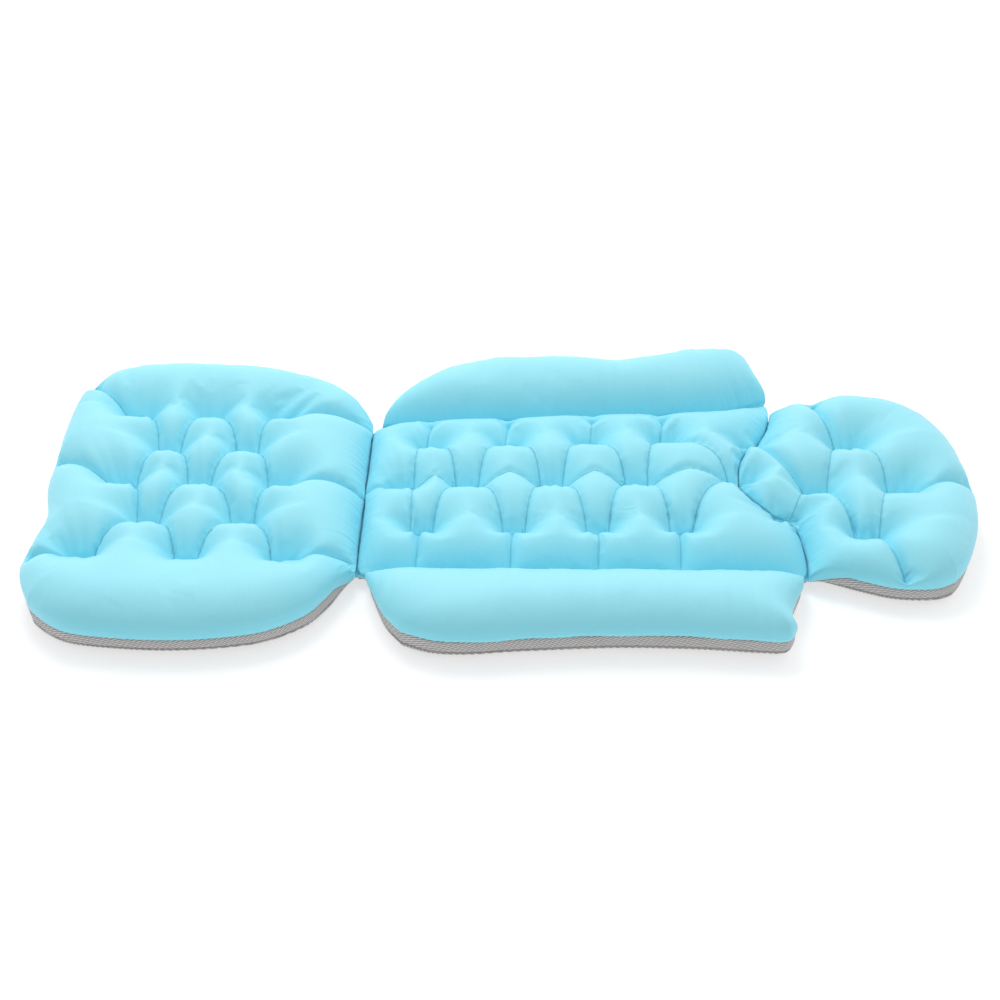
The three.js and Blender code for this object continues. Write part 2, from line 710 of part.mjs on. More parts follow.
/** A strip of tape sewn down at both ends, which bridges the stud and has a round buttonhole. */
function tabGeometry() {
  const high = undersideLevel - fit;
  const low = pocketFloor + tabThickness;
  const places = [
    [tabPocketLength / 2, low],
    [tabPocketLength / 2 + tabRamp, high],
    [tabPocketLength / 2 + tabRamp + tabSewnLength, high],
  ];
  const topEdge = [...places.map(([x, z]) => [-x, z]).reverse(), ...places];
  const section = new THREE.Shape([
    ...topEdge.map(([x, z]) => new THREE.Vector2(x, z)),
    ...topEdge.slice().reverse().map(([x, z]) => new THREE.Vector2(x, z - tabThickness)),
  ]);
  const strip = new THREE.ExtrudeGeometry(section, { depth: tabWidth, bevelEnabled: false, steps: 1 });
  strip.translate(0, 0, -tabWidth / 2).rotateX(Math.PI / 2);
  const hole = new THREE.CylinderGeometry(
    neckDiameter / 2 + fit, neckDiameter / 2 + fit, tabThickness + 2 * cutOverrun, neckSides);
  hole.rotateX(Math.PI / 2).translate(0, 0, low - tabThickness / 2);
  return geometryOf(solidOf(strip).subtract(solidOf(hole)));
}

const cup = cupGeometry();
const tab = tabGeometry();

/** Adds a panel's cups and tabs at points of its plan. */
function addCups(name, points) {
  points.forEach((point, i) => {
    addPiece(`${name}_cup_${i + 1}`, cup, clearPvc).position.set(point.x, point.y, 0);
    addPiece(`${name}_cup_tab_${i + 1}`, tab, tape).position.set(point.x, point.y, 0);
  });
}
addCups('seat', seatCupShares.map(seatPoint));
addCups('back', backCupShares.map(backPoint));
addCups('right_bolster', farBolsterCupShares.map(farBolsterPoint));
addCups('left_bolster', nearBolsterCupShares.map(nearBolsterPoint));
addCups('head', headCupShares.map(headPoint));

/** The hanging loop: a folded tape, sewn to the mesh at both ends, drooping until it meets the floor. */
function addHangingLoop() {
  const middle = (loopHalfWidth - loopTapeWidth / 2);
  const reach = loopReach - loopTapeWidth / 2;
  const bend = new THREE.EllipseCurve(0, 0, reach, middle, -Math.PI / 2, Math.PI / 2, false, 0);
  const path = new THREE.CatmullRomCurve3(
    bend.getPoints(loopSteps).map((point) => new THREE.Vector3(point.x, point.y, 0)));
  const section = new THREE.Shape().absellipse(0, 0, loopTapeHeight / 2, loopTapeWidth / 2, 0, 2 * Math.PI);
  const loop = new THREE.ExtrudeGeometry(section, {
    steps: loopSteps, curveSegments: loopSides, bevelEnabled: false, extrudePath: path,
  });
  const droop = Math.asin((loopLevel - loopTapeHeight / 2) / loopReach);
  const piece = addPiece('hanging_loop', loop, tape);
  piece.rotation.y = droop;
  piece.position.set(headX + headLength - seamTuck + loopGap, loopY, loopLevel);
}
addHangingLoop();

// The origin is under the middle of the whole mat.
const box = new THREE.Box3().setFromObject(mat, true);
const middle = box.getCenter(new THREE.Vector3());
mat.position.set(-middle.x, -middle.y, -box.min.z);

export default mat;
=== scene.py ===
# %% [markdown]
# # A tufted bath mat with a head pillow
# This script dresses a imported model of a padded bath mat. The real mat is three cushions in a row, a
# seat, a back and a head pillow, with a bolster along each side of the back. Each cushion is a
# bag of light blue polyester over fibre filling, tufted with short bars of stitching, and sewn to a grey
# air-mesh underside. Clear suction cups sit below it.
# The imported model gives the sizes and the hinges. Everything here is laid over it in the same frame.

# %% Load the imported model
import math

import bpy
import numpy as np
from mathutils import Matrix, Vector


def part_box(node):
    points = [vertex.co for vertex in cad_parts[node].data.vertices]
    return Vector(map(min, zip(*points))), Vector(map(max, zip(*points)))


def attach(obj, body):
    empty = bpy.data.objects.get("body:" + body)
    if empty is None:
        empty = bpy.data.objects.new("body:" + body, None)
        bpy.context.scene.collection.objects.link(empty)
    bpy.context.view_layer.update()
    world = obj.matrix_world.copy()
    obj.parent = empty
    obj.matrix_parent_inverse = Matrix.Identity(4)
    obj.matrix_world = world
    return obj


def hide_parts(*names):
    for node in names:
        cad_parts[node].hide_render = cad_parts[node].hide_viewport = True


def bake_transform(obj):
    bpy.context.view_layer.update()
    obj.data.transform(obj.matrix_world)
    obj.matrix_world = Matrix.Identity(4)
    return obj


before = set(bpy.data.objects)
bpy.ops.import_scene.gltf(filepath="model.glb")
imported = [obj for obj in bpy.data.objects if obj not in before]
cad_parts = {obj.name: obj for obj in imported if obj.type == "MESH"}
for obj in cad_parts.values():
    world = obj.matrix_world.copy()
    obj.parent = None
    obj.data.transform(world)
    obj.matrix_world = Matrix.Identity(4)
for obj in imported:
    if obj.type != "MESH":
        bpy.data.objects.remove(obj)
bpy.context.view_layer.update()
scene = bpy.context.scene
MM = 0.001

# %% [markdown]
# The camera comes first. The photograph looks down on the mat at about 40 degrees from some two and a half
# metres away with a short telephoto lens, so parallel edges stay nearly parallel. A camera in Blender
# looks along its own -Z axis, so its turn is found from the line between it and the point that it aims at.

# %% Camera
fold_low, fold_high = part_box("seat_fold_seam")
SEAT_FOLD_X, SEAT_FOLD_MIDDLE_Y = -180.0, 1.0
AIM_Y, CAMERA_FROM_AIM = 27.0, (39.6, -1890.4, 1558.6)
SHIFT = np.array([
    (fold_low[0] + fold_high[0]) / 2 / MM - SEAT_FOLD_X,
    (fold_low[1] + fold_high[1]) / 2 / MM - SEAT_FOLD_MIDDLE_Y,
])
camera_data = bpy.data.cameras.new("studio_camera")
camera = bpy.data.objects.new("studio_camera", camera_data)
scene.collection.objects.link(camera)
scene.camera = camera
aim = np.array([SHIFT[0], AIM_Y + SHIFT[1], 0.0]) * MM
camera.location = aim + np.array(CAMERA_FROM_AIM) * MM
camera.rotation_euler = (Vector(aim) - camera.location).to_track_quat("-Z", "Y").to_euler()
camera_data.lens = 64.94
camera_data.sensor_width = 36.0
camera_data.clip_start, camera_data.clip_end = 0.05, 20.0
print("plan shift in mm:", SHIFT.round(2), "camera at", [round(c, 3) for c in camera.location])

# %% [markdown]
# The product was shot in a white studio. A pale floor, a bright even surround and a large soft lamp above and
# a little in front give shadows that fade out within a few centimetres.

# %% Floor and lights
floor_mesh = bpy.data.meshes.new("studio_floor")
floor_mesh.from_pydata([(-6, -4, 0), (6, -4, 0), (6, 9, 0), (-6, 9, 0)], [], [(0, 1, 2, 3)])
floor = bpy.data.objects.new("studio_floor", floor_mesh)
scene.collection.objects.link(floor)
floor_finish = bpy.data.materials.new("white_floor")
floor_finish.use_nodes = True
floor_shader = floor_finish.node_tree.nodes["Principled BSDF"]
floor_shader.inputs["Base Color"].default_value = (0.62, 0.62, 0.62, 1)
floor_shader.inputs["Emission Color"].default_value = (1, 1, 1, 1)
floor_shader.inputs["Emission Strength"].default_value = 0.50
floor_shader.inputs["Roughness"].default_value = 0.9
floor_mesh.materials.append(floor_finish)

world = bpy.data.worlds.new("studio_surround")
scene.world = world
world.use_nodes = True
world.node_tree.nodes["Background"].inputs["Color"].default_value = (0.96, 0.98, 1.0, 1)
surround = world.node_tree.nodes
heading = surround.new("ShaderNodeTexCoord")
axes = surround.new("ShaderNodeSeparateXYZ")
fall_off = surround.new("ShaderNodeMapRange")
fall_off.inputs["From Min"].default_value, fall_off.inputs["From Max"].default_value = -0.8, 0.5
fall_off.inputs["To Min"].default_value, fall_off.inputs["To Max"].default_value = 0.42, 1.12
world.node_tree.links.new(heading.outputs["Generated"], axes.inputs[0])
world.node_tree.links.new(axes.outputs["Y"], fall_off.inputs["Value"])
world.node_tree.links.new(fall_off.outputs["Result"], surround["Background"].inputs["Strength"])


def soft_lamp(name, place, target, size, watts):
    """A square area lamp at place that faces target."""
    data = bpy.data.lights.new(name, "AREA")
    data.size, data.energy = size, watts
    lamp = bpy.data.objects.new(name, data)
    scene.collection.objects.link(lamp)
    lamp.location = place
    lamp.rotation_euler = (Vector(target) - Vector(place)).to_track_quat("-Z", "Y").to_euler()
    return lamp


soft_lamp("overhead_lamp", (-0.5, 1.1, 2.4), (0, 0, 0), 1.2, 25)
soft_lamp("front_lamp", (0.6, -2.3, 1.5), (0, 0, 0.05), 1.6, 1.5)
scene.view_settings.view_transform = "Standard"

# %% [markdown]
# Every outline is a smooth curve through a few points taken on the product. A Catmull-Rom curve passes
# through all of its points. It is sampled closely and then read by its length, so that the points of a
# cushion's grid are spread evenly along it.

# %% Smooth sides
def smooth_side(points, per_span=24):
    """Catmull-Rom: each span between b and c is bent by its neighbours a and d.
    p(t) = b + (c-a)t/2 + (2a-5b+4c-d)t^2/2 + (3b-a-3c+d)t^3/2. Returned as a table read by length share."""
    p = np.asarray(points, float)
    ext = np.vstack([p[:1], p, p[-1:]])
    a, b, c, d = (ext[k:len(p) - 1 + k, None, :] for k in range(4))
    t = np.linspace(0, 1, per_span, endpoint=False)[None, :, None]
    span = b + (c - a) * t / 2 + (2 * a - 5 * b + 4 * c - d) * t**2 / 2 + (3 * b - a - 3 * c + d) * t**3 / 2
    line = np.vstack([span.reshape(-1, 2), p[-1:]])
    run = np.concatenate([[0], np.cumsum(np.linalg.norm(np.diff(line, axis=0), axis=1))])
    return run / run[-1], line


def along(side, t):
    """The points of a side at length shares t."""
    share, line = side
    t = np.clip(t, 0, 1)
    return np.stack([np.interp(t, share, line[:, 0]), np.interp(t, share, line[:, 1])], -1)


def coons(sides, u, v):
    """Coons patch: the surface ruled between start and end, plus the one ruled between right and left,
    less the bilinear surface through the four corners."""
    start, end = along(sides["start"], v), along(sides["end"], v)
    right, left = along(sides["right"], u), along(sides["left"], u)
    r0, r1 = along(sides["right"], 0), along(sides["right"], 1)
    l0, l1 = along(sides["left"], 0), along(sides["left"], 1)
    u, v = u[..., None], v[..., None]
    corners = (1 - v) * ((1 - u) * r0 + u * r1) + v * ((1 - u) * l0 + u * l1)
    return (1 - v) * right + v * left + (1 - u) * start + u * end - corners


def distance_to(chain, points):
    """Least distance from each point to the straight pieces between a chain's points."""
    best = np.full(len(points), np.inf)
    for a, b in zip(chain[:-1], chain[1:]):
        step = b - a
        size = step @ step
        if size > 1e-12:
            share = np.clip((points - a) @ step / size, 0, 1)
            best = np.minimum(best, np.linalg.norm(points - a - share[:, None] * step, axis=1))
    return best


demo = smooth_side([(0, 0), (1, 1), (2, 0)])
print("middle of a test curve:", along(demo, np.array([0.5])).round(3))

# %% [markdown]
# The three cushions and the bolsters meet at sewn lines: two cross folds that the mat hinges at, and two
# creases along the back. The head's fold is hinged on a straight line but its stitching wanders over the
# back's last tufts, so the covers there share a bowed side. The far crease also curves out at its head end.

# %% Sewn lines in plan
EDGE_GAP = 2.8
seat_fold = np.array([(SEAT_FOLD_X, -154.0), (SEAT_FOLD_X, 156.0)])
head_fold = np.array([(397.0, -149.0), (378.0, 195.0)])
near_crease = np.array([seat_fold[0], head_fold[0]])
far_crease = np.array([
    (-180, 156), (-95, 161.5), (24, 170), (157, 180), (247, 186), (300, 192), (338, 208), (362, 220), (376, 223),
], float)
head_bow = np.array([
    (397, -149), (397, -120), (394, -88), (388, -62), (371, -47), (352, -40), (334, -16), (322, 14),
    (322, 48), (333, 84), (350, 112), (364, 142), (374, 172), (378, 195),
], float)
bow_line = smooth_side(head_bow)[1]
BOW_TUFTS = np.array([(376.0, -50.0), (322.0, 22.0), (342.0, 100.0)])
bow_near = bow_line[bow_line[:, 1] < -66]
bow_far = bow_line[bow_line[:, 1] > 118]
far_crease_line = smooth_side(far_crease)[1]


def offset_line(line, gap):
    """A line moved sideways by gap, to the left of its direction."""
    step = np.gradient(line, axis=0)
    step /= np.linalg.norm(step, axis=1, keepdims=True)
    return line + gap * np.stack([-step[:, 1], step[:, 0]], -1)


def as_side(line):
    """A sampled line as a side that is read by its length share."""
    run = np.concatenate([[0], np.cumsum(np.linalg.norm(np.diff(line, axis=0), axis=1))])
    return run / run[-1], line


def straight_side(a, b):
    """A straight side."""
    return as_side(np.linspace(a, b, 65))


def reversed_line(line):
    """The same line run the other way."""
    return line[::-1].copy()


print("bowed fold is", round(float(np.linalg.norm(np.diff(bow_line, axis=0), axis=1).sum())), "mm long")

# %% [markdown]
# The outlines and the tufts are given as shares of each cushion, so a change of size keeps the shape. A tuft
# on this mat is a short bar of stitches. Creases run from the ends of each bar to those of its neighbours,
# so the cushions between them are six-sided, like a honeycomb.

# %% Outlines, tufts and creases
SEAT_LENGTH, SEAT_HALF = 428.0, 277.0
HEAD_LENGTH, HEAD_HALF, HEAD_X = 244.0, 192.0, 387.5
BOLSTER_WIDTH = 132.0


def seat_at(shares):
    """Shares of the seat's length from the fold, and of its half width, in plan."""
    s = np.asarray(shares, float)
    return np.stack([SEAT_FOLD_X - s[:, 0] * SEAT_LENGTH, s[:, 1] * SEAT_HALF], -1)


def head_at(shares):
    """Shares of the head's length from the fold, and of its half width, in plan."""
    s = np.asarray(shares, float)
    return np.stack([HEAD_X + s[:, 0] * HEAD_LENGTH, s[:, 1] * HEAD_HALF], -1)


def back_at(shares):
    """Shares of the way to the head fold, and from the near crease to the far one, in plan."""
    s = np.asarray(shares, float)
    near = seat_fold[0] + s[:, :1] * (head_fold[0] - seat_fold[0])
    far = seat_fold[1] + s[:, :1] * (head_fold[1] - seat_fold[1])
    return near + s[:, 1:] * (far - near)


def bolster_at(shares, start, end, outward):
    """Shares of the crease's length, and of the bolster's width out from it, in plan."""
    s = np.asarray(shares, float)
    step = (end - start) / np.linalg.norm(end - start)
    out = outward * np.array([-step[1], step[0]])
    return start + s[:, :1] * (end - start) + s[:, 1:] * BOLSTER_WIDTH * out


SEAT_FAR = [(0.035, 0.63), (0.07, 0.7), (0.15, 0.795), (0.26, 0.87), (0.4, 0.92), (0.56, 0.935),
            (0.7, 0.935), (0.82, 0.905), (0.92, 0.82), (0.97, 0.69)]
SEAT_END = [(0.97, 0.69), (0.98, 0.54), (0.985, 0.32), (0.985, 0.11), (0.98, -0.08), (0.955, -0.27),
            (0.97, -0.44), (0.985, -0.57), (0.975, -0.71), (0.93, -0.86)]
SEAT_NEAR = [(0.035, -0.63), (0.075, -0.76), (0.13, -0.88), (0.23, -0.98), (0.34, -1.025), (0.49, -1.05),
             (0.64, -1.045), (0.79, -1.015), (0.87, -0.95), (0.93, -0.86)]
HEAD_NEAR = [(0.10, -0.775), (0.19, -0.81), (0.31, -0.87), (0.44, -0.925), (0.56, -0.94),
             (0.68, -0.925), (0.78, -0.86)]
HEAD_END = [(0.78, -0.86), (0.86, -0.72), (0.93, -0.5), (0.975, -0.26), (0.988, 0.03), (0.96, 0.34),
            (0.91, 0.59), (0.82, 0.8)]
HEAD_FAR = [(0.03, 0.985), (0.12, 1.005), (0.24, 1.03), (0.36, 1.05), (0.48, 1.03), (0.6, 1), (0.72, 0.92),
            (0.82, 0.8)]
FAR_BOLSTER_HEAD = [(0.997, 0.33), (0.98, 0.54), (0.965, 0.79)]
FAR_BOLSTER_SIDE = [(0.965, 0.79), (0.93, 0.9), (0.85, 0.93), (0.76, 0.87), (0.64, 0.78), (0.52, 0.84),
                    (0.43, 0.87), (0.32, 0.86), (0.215, 0.77)]
FAR_BOLSTER_SEAT = [(0.036, 0.156), (0.075, 0.36), (0.134, 0.58), (0.215, 0.77)]
NEAR_BOLSTER_SEAT = [(0.035, 0.31), (0.065, 0.64), (0.11, 0.89)]
NEAR_BOLSTER_SIDE = [(0.11, 0.89), (0.18, 1.02), (0.26, 1.04), (0.36, 0.995), (0.515, 0.945),
                     (0.615, 0.93), (0.75, 0.945), (0.88, 0.99), (0.93, 0.985), (0.95, 0.86)]
NEAR_BOLSTER_HEAD = [(0.98, 0.235), (0.955, 0.5), (0.942, 0.7), (0.95, 0.86)]

SEAT_TUFTS = [(0.76, 0.53), (0.53, 0.53), (0.30, 0.53), (0.64, 0.26), (0.39, 0.26),
              (0.75, 0), (0.52, 0), (0.27, 0), (0.65, -0.28), (0.36, -0.28),
              (0.82, -0.53), (0.51, -0.53), (0.22, -0.53)]
BACK_TUFTS = [(0.15, 0.77), (0.34, 0.77), (0.53, 0.77), (0.72, 0.77), (0.905, 0.73), (0.09, 0.5),
              (0.24, 0.5), (0.44, 0.5), (0.64, 0.5), (0.87, 0.51), (0.14, 0.22), (0.35, 0.22),
              (0.54, 0.22), (0.73, 0.22), (0.963, 0.29)]
HEAD_TUFTS = [(0.35, 0.47), (0.14, 0), (0.59, 0), (0.37, -0.48)]

# Which bars are joined by a crease. The letter is the end of the bar: L towards the seat, R towards the head.
SEAT_LINKS = ["0R3L", "3R1L", "1R4L", "4R2L", "3L5R", "3R6L", "4L6R", "4R7L", "5R8L", "6L8R", "6R9L",
              "7L9R", "8L10R", "8R11L", "9L11R", "9R12L"]
BACK_LINKS = ["5R0L", "0R6L", "6R1L", "1R7L", "7R2L", "2R8L", "8R3L", "3R9L", "9R4L", "5R10L", "10R6L",
              "6R11L", "11R7L", "7R12L", "12R8L", "8R13L", "13R9L", "9R14L"]
HEAD_LINKS = ["1R0L", "0R2L", "1R3L", "3R2L"]
BAR_HALF = 14.0


def crease_lines(bars, links):
    """The ends of each crease, from the names of the bars that it joins."""
    reach = {"L": np.array([-BAR_HALF, 0]), "R": np.array([BAR_HALF, 0])}
    lines = []
    for link in links:
        cut = min(k for k in (link.find("L"), link.find("R")) if k > 0)
        first, second = (int(link[:cut]), link[cut]), (int(link[cut + 1:-1]), link[-1])
        lines.append((bars[first[0]] + reach[first[1]], bars[second[0]] + reach[second[1]]))
    return lines


print(len(SEAT_TUFTS) + len(BACK_TUFTS) + len(HEAD_TUFTS), "tufts and",
      len(SEAT_LINKS) + len(BACK_LINKS) + len(HEAD_LINKS), "creases between them")

# %% [markdown]
# A cushion's height is worked out in layers. Its crown is pulled down at the bars and creases: the
# height there depends on the distance to the nearest one. It rounds off to the free edge like the quarter of
# an ellipse, and dips to the sewn lines in valleys that are never steeper than a set slope.

# %% Levels of a cushion
FOLD_LEVEL, FOLD_TOP, UNDERSIDE = 14.4, 16.9, 11.9
EQUATOR, TUFT_LEVEL = 41.0, 30.0
SEAM_TUCK, FOLD_BLEND, CORNER_SOFT = 4.0, 55.0, 3.0


def segment_distance(points, a, b):
    """Distance to the straight piece from a to b, and the share of the way along it."""
    step = b - a
    share = np.clip((points - a) @ step / (step @ step), 0, 1)
    return np.linalg.norm(points - a - share[:, None] * step, axis=1), share


CREASE_NARROW, PIT_LEAN, PIT_EDGE, PIT_POWER, SOFT_POWER = 1.8, 0.18, 3.0, 1.2, 7.0
NEARBY = 10.0


def tufting(points, panel):
    """Soft distance to the nearest bar or crease: sum((d + 1)^-q)^(-1/q) - 1, which rounds off the ridge
    between two of them. A crease counts as further away towards its middle, where it is shallower, and is
    narrower than the pit at a bar. The pit leans: its near side is steeper than its far side."""
    if not len(panel["bars"]):
        return np.full(len(points), 1e3)
    total = np.zeros(len(points))
    for bar in panel["bars"]:
        d, _ = segment_distance(points, bar - (BAR_HALF, 0), bar + (BAR_HALF, 0))
        total += (d * (0.96 - PIT_LEAN * np.tanh((points[:, 1] - bar[1]) / 6)) + 1) ** -SOFT_POWER
    for a, b, lift, *ends in panel["creases"]:
        d, share = segment_distance(points, a, b)
        first, last = ends if ends else (0.0, 0.0)
        lift = lift * np.sin(np.pi * share) ** 1.3 + first + (last - first) * share
        total += (CREASE_NARROW * d + lift + 1) ** -SOFT_POWER
    return total ** (-1 / SOFT_POWER) - 1


def nearest_crease(points, panel):
    """Two values that the blue material reads to dent each crease and paint a thin shade line along it: how near the
    closest bar or crease is, as NEARBY less the distance, and the distance signed by the side, which passes through 0
    on the line itself."""
    near, side = np.full(len(points), NEARBY), np.full(len(points), NEARBY)
    pieces = [(bar - (BAR_HALF, 0), bar + (BAR_HALF, 0)) for bar in panel["bars"]]
    for a, b in pieces + [crease[:2] for crease in panel["creases"]]:
        d, _ = segment_distance(points, a, b)
        turn = (points[:, 0] - a[0]) * (b - a)[1] - (points[:, 1] - a[1]) * (b - a)[0]
        closer = d < near
        near[closer], side[closer] = d[closer], (d * np.sign(turn))[closer]
    return NEARBY - near, side


def pit_profile(near, reach):
    """g(near) - g(0) with g(x) = 1 - exp(-((x + edge)/reach)**power): a sharp bottom and an even slope."""
    rise = 1 - np.exp(-(((near + PIT_EDGE) / reach) ** PIT_POWER))
    return rise - (1 - math.exp(-((PIT_EDGE / reach) ** PIT_POWER)))


def valley(distance, slope, height):
    """1 - exp(-slope*d/h): rises from a sewn line and is never steeper than slope."""
    return 1 - np.exp(-slope * distance / height)


def nearest_on(chain, points):
    """The nearest point of a chain to each point."""
    best, place = np.full(len(points), np.inf), np.zeros((len(points), 2))
    for a, b in zip(chain[:-1], chain[1:]):
        step = b - a
        if step @ step > 1e-12:
            share = np.clip((points - a) @ step / (step @ step), 0, 1)
            foot = a + share[:, None] * step
            distance = np.linalg.norm(points - foot, axis=1)
            place = np.where((distance < best)[:, None], foot, place)
            best = np.minimum(best, distance)
    return place, best


PRESS = 7.0


def pressed(top, panel):
    """Puffs the cover over its sewn lines, so that two neighbours all but meet above the roll:
    moved towards the line by up to the gap, rising with the height above it and fading away from it."""
    flat = top.reshape(-1, 3).copy()
    for chain, _ in panel["sewn"]:
        place, away = nearest_on(chain, flat[:, :2])
        rise = np.clip((flat[:, 2] - FOLD_TOP - 0.6) / 4, 0, 1)
        move = np.clip(away - 0.4, 0, PRESS) * rise * np.exp(-np.maximum(away - EDGE_GAP, 0) / 26)
        flat[:, :2] += (place - flat[:, :2]) / np.maximum(away, 1e-6)[:, None] * move[:, None]
    return flat.reshape(top.shape)


def top_level(points, panel):
    """The height of a cushion's top over its plan."""
    flat = points.reshape(-1, 2)
    sewn = [(np.maximum(distance_to(chain, flat) - EDGE_GAP, 0), slope) for chain, slope in panel["sewn"]]

    def raised(level):
        share = np.ones(len(flat))
        for distance, slope in sewn:
            share = share * valley(distance, slope, level - FOLD_TOP)
        return FOLD_TOP + (level - FOLD_TOP) * share

    crown = TUFT_LEVEL + (panel["height"] - TUFT_LEVEL) * pit_profile(tufting(flat, panel), panel["reach"])
    low, high = raised(np.full(len(flat), EQUATOR)), raised(crown)
    rim = np.ones(len(flat))
    if panel["free"] is not None:
        sides = [np.maximum(distance_to(side, flat) / panel["rim"], 1e-3)
                 for side in panel.get("free_sides", [panel["free"]])]
        edge = np.minimum(sum(side ** -CORNER_SOFT for side in sides) ** (-1 / CORNER_SOFT), 1)
        rim = np.sqrt(1 - (1 - edge) ** 2)
    return (low + (high - low) * rim).reshape(points.shape[:-1])


def mixed_level(points, panel, sewn_level, free_level):
    """sewn_level beside the sewn lines, free_level beyond their reach, with a smooth step between."""
    flat = points.reshape(-1, 2)
    d = np.min([distance_to(chain, flat) for chain, _ in panel["sewn"]], axis=0)
    t = np.clip(d / FOLD_BLEND, 0, 1)
    t = t * t * (3 - 2 * t)
    return (sewn_level + (free_level - sewn_level) * t).reshape(points.shape[:-1])


print("levels in mm: floor 0, underside", UNDERSIDE, "fold", FOLD_LEVEL, "equator", EQUATOR)

# %% [markdown]
# Cloth that is held down by stitches has more length than the line it is sewn to, so it gathers. The small
# folds run away from the stitches and fade out. Each bar, each sewn line and each free edge gets its own
# seeded ripples, which are added along the surface's normal at the end.

# %% Gathers
def ripple(s, wavelengths, seed):
    """A sum of cosines of s with seeded phases, between about -1 and 1."""
    rng = np.random.default_rng(seed)
    phases, weights = rng.uniform(0, 2 * np.pi, len(wavelengths)), rng.uniform(0.6, 1.0, len(wavelengths))
    waves = [w * np.cos(2 * np.pi * s / length + p) for length, p, w in zip(wavelengths, phases, weights)]
    return np.sum(waves, axis=0) / weights.sum()


def run_along(chain, points):
    """For each point, the length run along the chain to its nearest point, and the distance to it."""
    best, run_at = np.full(len(points), np.inf), np.zeros(len(points))
    run = 0.0
    for a, b in zip(chain[:-1], chain[1:]):
        step = b - a
        size = np.linalg.norm(step)
        if size < 1e-9:
            continue
        share = np.clip((points - a) @ step / size**2, 0, 1)
        distance = np.linalg.norm(points - a - share[:, None] * step, axis=1)
        closer = distance < best
        best = np.where(closer, distance, best)
        run_at = np.where(closer, run + share * size, run_at)
        run += size
    return run_at, best


def bar_gathers(points, bars, seed):
    """Folds that fan out from each bar: cos over the fanned place along it, fading away from it."""
    rng = np.random.default_rng(seed)
    total = np.zeros(len(points))
    for k, bar in enumerate(bars):
        a, b = (points - bar).T
        away = np.abs(b)
        side = np.where(b > 0, rng.uniform(0.25, 1.25), rng.uniform(0.25, 1.25))
        place = a / (1 + away / rng.uniform(30, 60)) + 0.12 * b
        fade = np.exp(-((away / 30) ** 1.2)) * (1 - np.exp(-away / 3)) * np.exp(-((place / (BAR_HALF + 3)) ** 4))
        total += 3.4 * side * fade * ripple(place, (9.7, 14.1, 21.3), seed + 10 * k)
    return total


def line_gathers(points, chain, seed, size=1.4, reach=18, waves=(8.3, 12.9, 21.7)):
    """Folds square to a sewn line, stronger in some stretches of it than in others."""
    run, away = run_along(chain, points)
    stretch = 0.45 + 0.55 * ripple(run, (61, 97, 150), seed + 1)
    fade = np.exp(-((away / reach) ** 1.1)) * (1 - np.exp(-away / 4))
    return size * stretch * fade * ripple(run + 0.15 * away, waves, seed)


print("ripples at one place:", ripple(np.array([0.0, 5.0, 10.0]), (7.3, 9.1, 12.7), 3).round(2))

# %% [markdown]
# Each cover is a closed bag. Its top is a grid over the plan, closer together at the edges where it turns
# down. Rings lead from the top's border round the equator to the seam, and a flat base closes it. A UV map is
# made from the lengths run along the grid, so that the weave isn't stretched where the cloth is steep.

# %% From arrays to a mesh
def graded(t, share=0.35):
    """t - share*sin(2*pi*t)/(2*pi): even steps drawn together at both ends."""
    return t - share * np.sin(2 * np.pi * t) / (2 * np.pi)


def border_of(nu, nv):
    """Indexes (i, j) once round a grid's border."""
    i = np.concatenate([np.arange(nu), np.full(nv, nu), np.arange(nu, 0, -1), np.zeros(nv, int)])
    j = np.concatenate([np.zeros(nu, int), np.arange(nv), np.full(nu, nv), np.arange(nv, 0, -1)])
    return i, j


def plan_points(panel, s, t, sewn, free):
    """Points of the plan at grid shares s and t, drawn in from the sewn and the free sides."""
    inset = {side: (sewn if side in panel["sewn_sides"] else free) for side in ("start", "right", "end", "left")}
    us, ue = inset["start"] / panel["length"], inset["end"] / panel["length"]
    vr, vl = inset["right"] / panel["width"], inset["left"] / panel["width"]
    return coons(panel["sides"], us + (1 - us - ue) * s, vr + (1 - vr - vl) * t)


def mesh_object(name, points, quads, triangles=(), uv=None):
    """A mesh object in metres from points in plan millimetres. Vertices go in as one array."""
    place = points * MM
    place[:, :2] += SHIFT * MM
    mesh = bpy.data.meshes.new(name)
    faces = np.concatenate([np.asarray(quads, np.int32).ravel(), np.asarray(triangles, np.int32).ravel()])
    sizes = np.concatenate([np.full(len(quads), 4), np.full(len(triangles), 3)]).astype(np.int32)
    mesh.vertices.add(len(place))
    mesh.vertices.foreach_set("co", place.astype(np.float32).ravel())
    mesh.loops.add(len(faces))
    mesh.loops.foreach_set("vertex_index", faces)
    mesh.polygons.add(len(sizes))
    mesh.polygons.foreach_set("loop_start", np.concatenate([[0], np.cumsum(sizes)[:-1]]).astype(np.int32))
    mesh.polygons.foreach_set("loop_total", sizes)
    mesh.update(calc_edges=True)
    mesh.validate()
    mesh.polygons.foreach_set("use_smooth", np.ones(len(mesh.polygons), bool))
    if uv is not None:
        layer = mesh.uv_layers.new(name="cloth")
        layer.data.foreach_set("uv", (uv[faces] * MM).astype(np.float32).ravel())
    obj = bpy.data.objects.new(name, mesh)
    scene.collection.objects.link(obj)
    return obj


def vertex_normals(points, quads):
    """Normals from the diagonals of each quad, summed at its corners."""
    a, b, c, d = (points[quads[:, k]] for k in range(4))
    face = np.cross(c - a, d - b)
    total = np.zeros_like(points)
    for k in range(4):
        np.add.at(total, quads[:, k], face)
    return total / np.maximum(np.linalg.norm(total, axis=1, keepdims=True), 1e-9)


def band(lower, upper):
    """Quads between two closed loops of the same count, facing outwards when upper is above."""
    return np.stack([lower, np.roll(lower, -1), np.roll(upper, -1), upper], -1)


